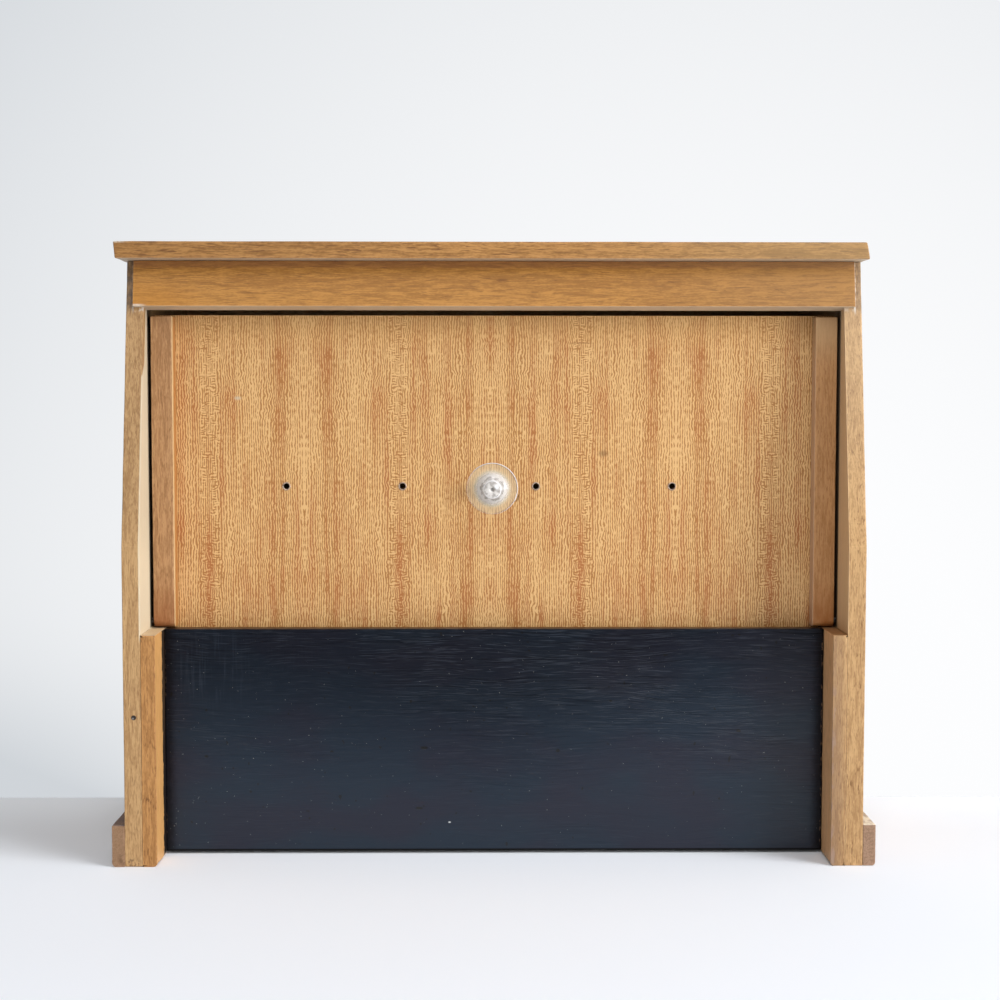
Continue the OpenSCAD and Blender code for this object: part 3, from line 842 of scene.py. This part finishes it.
def right_side_wood(colours):
    """One wood for the right side and its lining, so that the grain runs on across their joint."""
    if "right_side_wood" in bpy.data.materials:
        return bpy.data.materials["right_side_wood"]

    def marks(finish):
        x, y, z = finish.axes()
        lining_face(finish, srgb(226, 174, 124), 0.8, srgb(160, 116, 78), 0.45, 0.003, -0.0577, srgb(34, 26, 22))
        # the side's inner face is paler, and the wood greyer towards the top
        inner = x.below(0.2049, 0.2051)
        finish.lay(srgb(226, 192, 148), inner * z.band(*ABOVE_LINING) * 0.7)
        # painted shade in the seam beside the closed flap
        seam_shade(finish, inner)
        finish.lay(srgb(186, 164, 134), z.band(0.18, 0.30, 0.0, 0.22))
        # painted shade: the lining's top end is dark, in the side's shadow
        end = z.band(*LINING_TOP) * x.below(0.2046, 0.2048) * y.band(-0.0838, -0.0825)
        finish.lay(srgb(138, 92, 60), end * 0.75)
        # its front is duller, and the front's inner arris rubbed grey
        rub = finish.noise((330, 330, 90), (1, 1, 2), detail=3)
        across = x - rub.swing(0.0070)
        front = y.below(*FRONT_SKIN)
        duller = across.below(0.1985, 0.2066) * z.band(0.06, 0.125, 0.62, 0.42)
        finish.lay(srgb(128, 98, 74), duller * front * z.below(0.1352, 0.1358))
        grey = across.below(0.1968, 0.1982) * front * z.band(0.085, 0.118, 1.0, 0.15)
        finish.lay(srgb(150, 124, 108), grey * rub.band(0.46, 0.58, 0.0, 0.75))
        # painted shade and grime beside the rail's end, with a painted highlight
        shade_beside_rail(finish, 0.9, 0.6)

    return wood("right_side_wood", "Z", colours, "golden", 29, flecks=0.62, fleck_length=135, extra=marks)


class BOBBINBOX_OT_sides(bpy.types.Operator):
    """The two sides, whose front edges lean back above the kink"""

    bl_idname = "bobbinbox.sides"
    bl_label = "Sides"

    def execute(self, context):
        settings = context.scene.bobbin_box
        for node, seed, keen, made in (
            ("side_left", 11, (1.0, 0.25), left_side_wood), ("side_right", 29, (0.06, 1.0), right_side_wood),
        ):
            low, high = corners_of(node)
            front, back, top = low[1], high[1], high[2]
            corners = [(front, 0.0), (back, 0.0), (back, top), (front + LEAN_Y, top), (front, KINK_Z)]
            piece = board(node + "_dressed", "X", low[0], high[0], corners, settings.boards, seed, keen=keen)
            dress(piece, made(settings.colours), "case", node)
        return {"FINISHED"}


def top_marks(finish):
    x, y, z = finish.axes()
    # glue along the upper edge of the left end
    chip = finish.noise((500, 500, 500), (1, 2, 3))
    end = x.below(-0.2185, -0.2090) * z.band(0.3612, 0.3622)
    finish.lay(srgb(222, 214, 196), end * y.below(-0.0780, -0.0700) * chip.band(0.35, 0.6, 0.35, 0.9))
    # greyer to the right, deeper to the left and bare underneath
    finish.lay(srgb(166, 142, 100), x.band(0.02, 0.21, 0.0, 0.35))
    finish.lay(srgb(70, 38, 8), x.band(-0.20, 0.0, 0.18, 0.0))
    finish.lay(srgb(216, 200, 176), z.below(0.3527, 0.3530) * 0.6)


def rail_marks(finish):
    x, _, _ = finish.axes()
    up = up_lean(finish)
    mottle = finish.noise((160, 600, 600), (2, 5, 3), detail=3, roughness=0.6)
    # a reddish band under the top board, painted shadow of its overhang over a stain, greyer to the right, and an
    # amber run at the left end
    overhang_shadow_and_stain = (mottle * 0.0030 + up).band(lean_top(0) - 0.0044, lean_top(0) - 0.0016)
    finish.lay(srgb(116, 70, 50), overhang_shadow_and_stain * 0.45)
    finish.lay(srgb(139, 111, 79), x.band(0.05, 0.20, 0.0, 0.3))
    finish.spot(srgb(178, 116, 34), 0.4, (-0.206, -0.064, 0.3285), 0.004, 0.020, (0.5, 0.2, 1.6))
    # the lower face is bare and greyish, with glue left at its left end
    finish.lay(srgb(193, 174, 148), up.below(RAIL_LOW + 0.0001, RAIL_LOW + 0.0005) * 0.9)
    glue = x.below(-0.2085, -0.2015) * up.below(RAIL_LOW + 0.0006, RAIL_LOW + 0.0018)
    finish.lay(srgb(214, 204, 188), glue * mottle.band(0.3, 0.6, 0.3, 0.85))


class BOBBINBOX_OT_top(bpy.types.Operator):
    """The top board with its slanting ends, and the rail under its front"""

    bl_idname = "bobbinbox.top"
    bl_label = "Top board and rail"

    def execute(self, context):
        settings = context.scene.bobbin_box
        colours = settings.colours
        low, high = corners_of("top_board")
        # over its thickness its left end slants out by a millimetre and its right end in by 1.8
        slant = -0.001 / (high[2] - low[2]), -0.0018 / (high[2] - low[2])
        piece = board(
            "top_board_dressed", "X", low[0] + MM, high[0], rectangle(low[[1, 2]], high[[1, 2]]), settings.boards, 3,
            slant=slant, worn=0.0007, curl=0.0012
        )
        material = wood(
            "top_wood", "X", colours, "top", 5, flecks=0.74, fleck_length=55, waves=0.002, extra=top_marks
        )
        dress(piece, material, "case", "top_board")

        back = RAIL_T - RAIL_PROUD
        outline = [
            on_lean(-RAIL_PROUD, RAIL_LOW), on_lean(back, RAIL_LOW),
            on_lean(back, lean_top(back)), on_lean(-RAIL_PROUD, lean_top(-RAIL_PROUD)),
        ]
        low, high = corners_of("front_rail")
        piece = board("front_rail_dressed", "X", low[0], high[0], outline, settings.boards, 7, worn=0.0004)
        material = wood(
            "rail_wood", "X", colours, "orange", 8, flecks=0.48, fleck_length=50, waves=0.002, extra=rail_marks
        )
        dress(piece, material, "case", "front_rail")
        return {"FINISHED"}


def left_lining_marks(finish):
    _, y, z = finish.axes()
    lining_face(finish, srgb(226, 172, 106), 0.75, srgb(178, 120, 60), 0.4, 0.006, -0.0640, srgb(30, 23, 20))
    # painted light: its top end is cream, where the light falls on it
    finish.lay(srgb(212, 190, 154), z.band(*LINING_TOP) * y.band(-0.0846, -0.0842) * 0.85)


class BOBBINBOX_OT_linings(bpy.types.Operator):
    """The linings inside the lower halves of the sides"""

    bl_idname = "bobbinbox.linings"
    bl_label = "Linings"

    def execute(self, context):
        settings = context.scene.bobbin_box
        left_wood = wood(
            "left_lining_wood", "Z", settings.colours, "lining", 17, flecks=0.8, fleck_length=120,
            extra=left_lining_marks
        )
        # the inner lower corner is the round one, and those against the side are sharp
        sharp, worn, rounded = 0.00004, 0.0004, 0.002
        for node, seed, slot, radii, keen, material in (
            ("lining_left", 17, "orange_wood", [sharp, rounded, worn, sharp], 0.5, left_wood),
            (
                "lining_right",
                23,
                "golden_wood",
                [rounded, sharp, sharp, worn],
                0.25,
                right_side_wood(settings.colours),
            ),
        ):
            piece = plank(node, "Y", settings.boards, seed, radii=radii, keen=(keen, 1.0))
            dress(piece, material, "case", node)
        return {"FINISHED"}


class BOBBINBOX_OT_front_board(bpy.types.Operator):
    """The painted board across the lower front"""

    bl_idname = "bobbinbox.front_board"
    bl_label = "Front board"

    def execute(self, context):
        settings = context.scene.bobbin_box
        piece = plank("front_board", "X", settings.boards, 31, worn=0.0005)
        dress(piece, brushed_paint(settings.colours), "case", "front_board")
        return {"FINISHED"}


class BOBBINBOX_OT_inside(bpy.types.Operator):
    """The bottom board, back panel and stop strips"""

    bl_idname = "bobbinbox.inside"
    bl_label = "Bottom, back and stops"

    def execute(self, context):
        settings = context.scene.bobbin_box
        for node, axis, seed in (
            ("bottom_board", "X", 37), ("back_panel", "X", 41), ("stop_strip_left", "Z", 43),
            ("stop_strip_right", "Z", 47),
        ):
            piece = plank(node, axis, settings.boards, seed)
            material = wood(node + "_wood", axis, settings.colours, "plain", seed, flecks=0.3, gloss=0.6)
            dress(piece, material, "case", node)
        return {"FINISHED"}


def foot_marks(tone, left):
    """Marks of a foot rail, whose top has its own mottled tone, painted light on the right foot and painted shade on
    the left; the left one also has a blot and a warmer front.
    """

    def marks(finish):
        # its top: mottled, painted light on the right foot and painted shade on the left
        top = finish.axes()[2].band(0.0240, 0.0243)
        mottle = finish.noise((260, 90, 260), (1, 3, 2), detail=3, roughness=0.6)
        finish.lay(tone, top * mottle.band(0.35, 0.6, 0.35, 0.95))
        if left:
            spot = finish.near((-0.2165, FRONT_Y, 0.0045), 0.0006, 0.0030, (1.0, 0.2, 0.7))
            finish.lay(srgb(70, 46, 34), spot * mottle.band(0.40, 0.58) * 0.8)
            finish.lay(srgb(150, 112, 72), 0.35 - top * 0.35)

    return marks


class BOBBINBOX_OT_foot_rails(bpy.types.Operator):
    """The foot rails along the bottoms of the sides"""

    bl_idname = "bobbinbox.foot_rails"
    bl_label = "Foot rails"

    def execute(self, context):
        settings = context.scene.bobbin_box
        # the outer lower corner is the round one
        for node, seed, radii, tone in (
            # the tops' tones: painted shade on the left foot, painted light on the right
            ("foot_rail_left", 53, [0.002, 0.0005, 0.0005, 0.0005], srgb(108, 88, 80)),
            ("foot_rail_right", 59, [0.0005, 0.002, 0.0005, 0.0005], srgb(238, 224, 198)),
        ):
            piece = plank(node, "Y", settings.boards, seed, radii=radii, keen=(0.6, 1.0))
            material = wood(
                node + "_wood", "Y", settings.colours, "foot", seed, flecks=0.4, gloss=0.6,
                extra=foot_marks(tone, node == "foot_rail_left")
            )
            dress(piece, material, "case", node)
        return {"FINISHED"}


class BOBBINBOX_OT_fixings(bpy.types.Operator):
    """The pivot pins and the nails"""

    bl_idname = "bobbinbox.fixings"
    bl_label = "Pins and nails"

    def execute(self, context):
        material = plain_metal("steel", context.scene.bobbin_box.colours.steel, srgb(96, 92, 86), 0.38, 2)
        for node, side in (("pivot_pin_left", -1), ("pivot_pin_right", 1)):
            low, high = corners_of(node)
            inner, outer = (low[0], high[0]) if side > 0 else (-high[0], -low[0])
            centre = (low + high) / 2
            shank, head, thick, soft = 0.0015, 0.003, 0.0012, 0.0007
            t = np.linspace(0, math.pi / 2, 8)
            crown = np.column_stack([(head - soft) + soft * np.cos(t), outer - soft + soft * np.sin(t)])
            profile = np.concatenate([
                [(0, inner), (shank - 0.0003, inner), (shank, inner + 0.0003)],
                [(shank, outer - thick), (head, outer - thick), (head, outer - soft)],
                crown[1:], [(0, outer)],
            ])
            profile[:, 1] = np.clip(profile[:, 1], inner, outer)
            aim = Matrix.Rotation(math.radians(90 * side), 3, "Y").to_4x4()
            piece = turned(node + "_dressed", profile, (0, centre[1], centre[2]), aim, 32)
            dress(piece, material, "case", node)

        shank, head, soft = 0.0009, 0.0018, 0.0002
        t = np.linspace(0, math.pi / 2, 5)
        crown = np.column_stack([head - soft + soft * np.cos(t), -0.0003 + soft * np.sin(t)])
        for node, length in (("top_nails", 0.025), ("foot_nails", 0.015)):
            low, high = corners_of(node)
            along = np.linspace(low[1] + head, high[1] - head, 3)
            if node == "top_nails":
                groups = [([(s * 0.2099, y, high[2]) for s in (-1, 1) for y in along], Matrix.Identity(4))]
            else:
                middle = (low[2] + high[2]) / 2
                groups = [
                    ([(s * high[0], y, middle) for y in along], Matrix.Rotation(math.radians(90 * s), 4, "Y"))
                    for s in (-1, 1)
                ]
            profile = np.concatenate([
                [(0, -length), (0.0003, -length + 0.0006), (shank, -length + 0.003)],
                [(shank, -0.0008), (head, -0.0008), (head, -0.0003)],
                crown[1:], [(0.0008, -0.00002), (0, 0)],
            ])
            for k, (places, aim) in enumerate(groups):
                piece = turned(f"{node}_{k + 1}_dressed", profile, places, aim, 16)
                dress(piece, material, "case", node)
        return {"FINISHED"}


class BOBBINBOX_OT_spindles(bpy.types.Operator):
    """The four bobbin spindles"""

    bl_idname = "bobbinbox.spindles"
    bl_label = "Spindles"

    def execute(self, context):
        settings = context.scene.bobbin_box
        material = wood("spindle_wood", "Z", settings.colours, "plain", 61, flecks=0.3, gloss=0.55)
        for k in range(1, 5):
            node = f"spindle_{k}"
            low, high = corners_of(node)
            centre = (low + high) / 2
            radius, height = (high[0] - low[0]) / 2, high[2] - low[2]
            shoulder, shaft = height - radius / 2, radius - 0.00002
            tip = [
                (shaft, shoulder - 0.0004), (radius * 0.97, shoulder + 0.0001), (radius * 0.62, height - 0.0006),
                (radius * 0.45, height - 0.00005),
            ]
            profile = np.concatenate([
                [(0, 0), (radius, 0)],
                np.column_stack([np.full(20, shaft), np.linspace(0.001, shoulder - 0.001, 20)]),
                eased(tip, 4), [(0, height)],
            ])
            piece = turned(node + "_dressed", profile, (centre[0], centre[1], low[2]), None, 32)
            dress(piece, material, "case", node)
        return {"FINISHED"}


def stile_marks(left, front):
    """Marks of a flap's stile, whose front face lies at front."""

    def marks(finish):
        x, y, z = finish.axes()
        # dark at its foot
        darkening = finish.noise((180, 180, 60))
        finish.lay(srgb(128, 66, 20), z.below(0.1375, 0.172) * darkening.band(0.2, 0.7, 0.45, 0.80))
        if left:
            # its inner face is paler, with painted shadow deeper in, next to the panel, golden-brown like the shade
            # along the panel's edge
            inner = x.band(-0.1908, -0.1904)
            finish.lay(srgb(210, 176, 124), inner * 0.75)
            finish.lay(srgb(172, 108, 44), inner * y.band(front + 0.0022, front + 0.0034) * 0.85)
        else:
            finish.lay(srgb(206, 180, 156), x.below(0.1904, 0.1908) * 0.6)
            # warmer all over, and paler towards its top: painted light, where the side's shadow falls short of it
            finish.lay(srgb(204, 136, 58), 0.2)
            finish.lay(srgb(186, 150, 106), z.band(0.288, 0.316) * 0.7)

    return marks


class BOBBINBOX_OT_flap(bpy.types.Operator):
    """The flap's printed panel and its two stiles"""

    bl_idname = "bobbinbox.flap"
    bl_label = "Flap"

    def execute(self, context):
        settings = context.scene.bobbin_box
        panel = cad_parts["flap_panel"]
        panel.data.materials.clear()
        panel.data.materials.append(printed_panel(settings.colours))
        for node, seed in (("flap_stile_left", 67), ("flap_stile_right", 71)):
            low, high = corners_of(node)
            # the lower front corner is the round one
            piece = board(
                node + "_dressed", "X", low[0], high[0], rectangle(low[[1, 2]], high[[1, 2]]), settings.boards, seed,
                radii=[0.0040, 0.0003, 0.0005, 0.0006], worn=0.0005
            )
            material = wood(
                node + "_wood", "Z", settings.colours, "stile", seed, flecks=0.5, fleck_length=110,
                extra=stile_marks(node == "flap_stile_left", low[1])
            )
            dress(piece, material, "flap", node)
        return {"FINISHED"}


class BOBBINBOX_OT_eyelets(bpy.types.Operator):
    """The four thread eyelets in the flap"""

    bl_idname = "bobbinbox.eyelets"
    bl_label = "Eyelets"

    def execute(self, context):
        settings = context.scene.bobbin_box
        material = plain_metal("eyelet_metal", settings.colours.eyelet, srgb(140, 118, 100), 0.30, 7, 0.3)
        for k in range(1, 5):
            node = f"eyelet_{k}"
            low, high = corners_of(node)
            centre = (low + high) / 2
            half = (high[1] - low[1]) / 2
            bore, barrel, flange, thick = 0.00175, 0.0022, 0.00255, 0.0005
            t = np.linspace(0, math.pi, 9)
            middle, reach = (flange + bore) / 2, (flange - bore) / 2
            lip = np.column_stack([middle + reach * np.cos(t), half - thick + thick * np.sin(t)])
            inside = np.column_stack([np.full(5, bore), np.linspace(half - 0.0009, -half + 0.0009, 5)])
            outside = [(barrel, -half + thick), (barrel, half - thick)]
            profile = np.concatenate([lip, inside, lip[::-1] * (1, -1), outside])
            aim = Matrix.Rotation(math.radians(90), 4, "X")
            piece = turned(node + "_dressed", profile, centre, aim, 40, loop=True)
            dress(piece, material, "flap", node)
        return {"FINISHED"}


class BOBBINBOX_OT_suction_cup(bpy.types.Operator):
    """The clear suction cup that is the flap's handle"""

    bl_idname = "bobbinbox.suction_cup"
    bl_label = "Suction cup"

    def execute(self, context):
        settings = context.scene.bobbin_box
        _, high = corners_of("suction_cup")
        centre = Vector((CUP_X, high[1], CUP_Z))
        # the profile in millimetres: the knob, the groove under it and the skirt, then the skirt's under side
        outer = eased([
            (0, 12.0), (0.7, 12.1), (1.6, 12.85), (2.4, 13.0), (4.3, 12.9), (5.2, 12.5), (5.5, 11.7), (5.5, 10.2),
            (5.2, 9.4), (4.2, 8.9), (3.9, 8.2), (3.95, 6.0), (4.2, 4.9), (5.4, 4.1), (7.6, 3.2), (9.6, 1.9),
            (11.2, 1.25), (13.6, 0.95), (15.0, 0.82), (15.4, 0.6), (15.5, 0.35), (15.42, 0.1), (15.2, 0.0),
        ], 4)
        under = eased([(14.6, 0.0), (12.0, 0.06), (9.0, 0.25), (6.4, 0.9), (4.0, 1.5), (2.0, 1.8), (0, 1.9)], 4)
        profile = np.concatenate([outer, under]) * MM
        tab_angle, half_width, reach, rim = math.radians(-20), 0.00275, 0.0019, 0.0155

        def tab(r, angle):
            """The rim stands out by the reach where its arc length from the tab's middle is under half its width."""
            arc = np.abs((angle - tab_angle + np.pi) % TURN - np.pi) * rim
            rise = np.clip((half_width - arc) / 0.0006, 0, 1)
            rise = rise * rise * (3 - 2 * rise)
            return reach * rise * np.clip((r - 0.0138) / 0.0012, 0, 1)

        aim = Matrix.Rotation(math.radians(90), 4, "X")
        piece = turned("suction_cup_dressed", profile, centre, aim, 360, bulge=tab)
        dress(piece, clear_vinyl(settings.colours, centre), "flap", "suction_cup")
        return {"FINISHED"}


# ---------------------------------------------------------------- studio


def floor_finish(studio):
    """Matt floor with painted light: it glows a little towards the backdrop, and in a band in front, to the camera
    alone.
    """
    floor = Finish("floor")
    tone = floor.mix(floor.noise((3, 3, 3)), tuple(c * 0.99 for c in studio.floor), tuple(studio.floor))
    _, y, _ = floor.axes()
    away = y.band(-0.015, 0.086, 0.0, 0.070) + y.band(-0.26, -0.11, 0.0, 0.022)
    away = away * floor.get("LightPath", "Is Camera Ray")
    return floor.surface(
        Base_Color=tone, Roughness=0.9, Specular_IOR_Level=0.1, Emission_Color=(0.97, 1.0, 1.0, 1),
        Emission_Strength=away,
    )


def backdrop_finish():
    """Glowing backdrop that only the camera sees, from the front, with light and shade painted on it.

    Its level, painted light, is 0.98 + 0.203 x - 0.58 x^2 + 0.064 x z - 0.451 z^2, so it is brightest a little right
    of the middle and dims upwards. A round painted shadow of the box low on the left is taken off, and a thin painted
    shadow along the floor there.
    """
    wall = Finish("backdrop")
    x, _, z = wall.axes()
    x = wall.math("MAXIMUM", wall.math("MINIMUM", x, 0.45), -0.45)
    z = wall.math("MINIMUM", z, 0.6)
    level = x * (0.203 - x * 0.58) + 0.98
    level = z * (x * 0.064 - z * 0.451) + level
    across = wall.math("POWER", (x + 0.36) / 0.184, 2.0)
    upward = wall.math("POWER", z / 0.081, 2.0)
    shade = wall.math("EXPONENT", (across + upward) * -1.0)
    level = level - shade * 0.204
    near_floor = wall.math("EXPONENT", z / -0.016) * x.below(-0.12, 0.05)
    level = level - near_floor * 0.075
    share = wall.get("MapRange", 0, {"Value": level, "From Min": 0.65, "From Max": 0.98})
    tone = wall.mix(share, (0.628, 0.660, 0.694), (0.979, 0.984, 0.995))
    paint = wall.get("Emission", 0, {"Color": tone, "Strength": 1.0})
    clear = wall.get("BsdfTransparent", 0)
    front = 1.0 - wall.get("NewGeometry", "Backfacing")
    seen = wall.get("LightPath", "Is Camera Ray") * front
    wall.add("OutputMaterial", {"Surface": wall.get("MixShader", 0, {0: seen, 1: clear, 2: paint})})
    return wall.material


def lay_sheet(scene, name, points, material):
    """One flat sheet of the studio, between four corners."""
    mesh = bpy.data.meshes.new(name)
    mesh.from_pydata(points, [], [(0, 1, 2, 3)])
    mesh.materials.append(material)
    sheet = bpy.data.objects.new(name, mesh)
    scene.collection.objects.link(sheet)


def hang_lamp(scene, name, power, turn, rise):
    """A square soft lamp that faces the box, turned to the front from its right side and raised."""
    away, target = 2.8, Vector((0, -0.03, 0.15))
    lamp = bpy.data.lights.new(name, "AREA")
    lamp.shape, lamp.size = "SQUARE", 1.2
    lamp.energy, lamp.color = power, (0.975, 1.0, 1.055)
    holder = bpy.data.objects.new(name, lamp)
    toward = Vector((math.cos(turn) * math.cos(rise), -math.sin(turn) * math.cos(rise), math.sin(rise)))
    holder.location = target + away * toward
    holder.rotation_euler = (-toward).to_track_quat("-Z", "Y").to_euler()
    scene.collection.objects.link(holder)


def light_room(scene, strength):
    """Even light from all round, behind which the camera sees a plain pale grey."""
    world = bpy.data.worlds.new("room")
    world.use_nodes = True
    scene.world = world
    nodes, links = world.node_tree.nodes, world.node_tree.links
    nodes.clear()
    path, mixed, output = (nodes.new("ShaderNode" + kind) for kind in ("LightPath", "MixShader", "OutputWorld"))
    links.new(path.outputs["Is Camera Ray"], mixed.inputs[0])
    for k, (colour, power) in enumerate((((0.98, 0.995, 1.03, 1), strength), ((0.86, 0.88, 0.91, 1), 1.0)), 1):
        background = nodes.new("ShaderNodeBackground")
        background.inputs["Color"].default_value = colour
        background.inputs["Strength"].default_value = power
        links.new(background.outputs[0], mixed.inputs[k])
    links.new(mixed.outputs[0], output.inputs["Surface"])


def set_camera(scene):
    """The camera, which looks along Y from the front, and a little down and to the right."""
    place, pitch, yaw, roll = (-0.0063, -1.05054, 0.27142), 0.05933, 0.00963, 0.00076
    forward = Vector((math.sin(yaw) * math.cos(pitch), math.cos(yaw) * math.cos(pitch), -math.sin(pitch)))
    right = Vector((math.cos(yaw), -math.sin(yaw), 0))
    up = right.cross(forward)
    level_right = math.cos(roll) * right + math.sin(roll) * up
    level_up = math.cos(roll) * up - math.sin(roll) * right
    camera = bpy.data.objects.new("camera", bpy.data.cameras.new("camera"))
    camera.data.sensor_width, camera.data.lens = 36.0, 60.51
    turned_to = Matrix((level_right, level_up, -forward)).transposed().to_4x4()
    camera.matrix_world = Matrix.Translation(place) @ turned_to
    scene.collection.objects.link(camera)
    scene.camera = camera


class BOBBINBOX_OT_stage(bpy.types.Operator):
    """The floor, the backdrop, the soft lamps, the room light and the camera"""

    bl_idname = "bobbinbox.stage"
    bl_label = "Stage"

    def execute(self, context):
        scene = context.scene
        studio = scene.bobbin_box.studio
        scene.view_settings.view_transform = "Standard"
        reach, depth, wide, high = 20.0, 0.0872, 4.0, 3.0
        corners = [(-reach, -reach, 0), (reach, -reach, 0), (reach, reach, 0), (-reach, reach, 0)]
        lay_sheet(scene, "floor", corners, floor_finish(studio))
        corners = [(-wide, depth, 0), (wide, depth, 0), (wide, depth, high), (-wide, depth, high)]
        lay_sheet(scene, "backdrop", corners, backdrop_finish())
        hang_lamp(scene, "window_low", studio.window_low, studio.window_turn, math.radians(10))
        hang_lamp(scene, "window_high", studio.window_high, studio.window_turn, math.radians(55))
        hang_lamp(scene, "front_fill", studio.front_fill, math.radians(90), math.radians(40))
        light_room(scene, studio.room)
        set_camera(scene)
        return {"FINISHED"}


# ---------------------------------------------------------------- add-on


OPERATORS = (
    BOBBINBOX_OT_stage,
    BOBBINBOX_OT_sides,
    BOBBINBOX_OT_top,
    BOBBINBOX_OT_linings,
    BOBBINBOX_OT_front_board,
    BOBBINBOX_OT_inside,
    BOBBINBOX_OT_foot_rails,
    BOBBINBOX_OT_fixings,
    BOBBINBOX_OT_spindles,
    BOBBINBOX_OT_flap,
    BOBBINBOX_OT_eyelets,
    BOBBINBOX_OT_suction_cup,
)


class BOBBINBOX_PT_panel(bpy.types.Panel):
    """Sizes, colours and operators of the bobbin box"""

    bl_idname = "BOBBINBOX_PT_panel"
    bl_label = "Bobbin Box"
    bl_space_type = "VIEW_3D"
    bl_region_type = "UI"
    bl_category = "Bobbin Box"

    def draw(self, context):
        settings = context.scene.bobbin_box
        for group in (settings.boards, settings.colours, settings.studio):
            box = self.layout.box()
            for name in group.bl_rna.properties.keys():
                if name not in ("rna_type", "name"):
                    box.prop(group, name)
        for operator in OPERATORS:
            self.layout.operator(operator.bl_idname)


CLASSES = (
    BOBBINBOX_PG_boards,
    BOBBINBOX_PG_colours,
    BOBBINBOX_PG_studio,
    BOBBINBOX_PG_settings,
    *OPERATORS,
    BOBBINBOX_PT_panel,
)


def register():
    for cls in CLASSES:
        bpy.utils.register_class(cls)
    bpy.types.Scene.bobbin_box = bpy.props.PointerProperty(type=BOBBINBOX_PG_settings)


def unregister():
    del bpy.types.Scene.bobbin_box
    for cls in reversed(CLASSES):
        bpy.utils.unregister_class(cls)


def main():
    register()
    for operator in OPERATORS:
        family, action = operator.bl_idname.split(".")
        getattr(getattr(bpy.ops, family), action)()


if __name__ == "__main__":
    main()
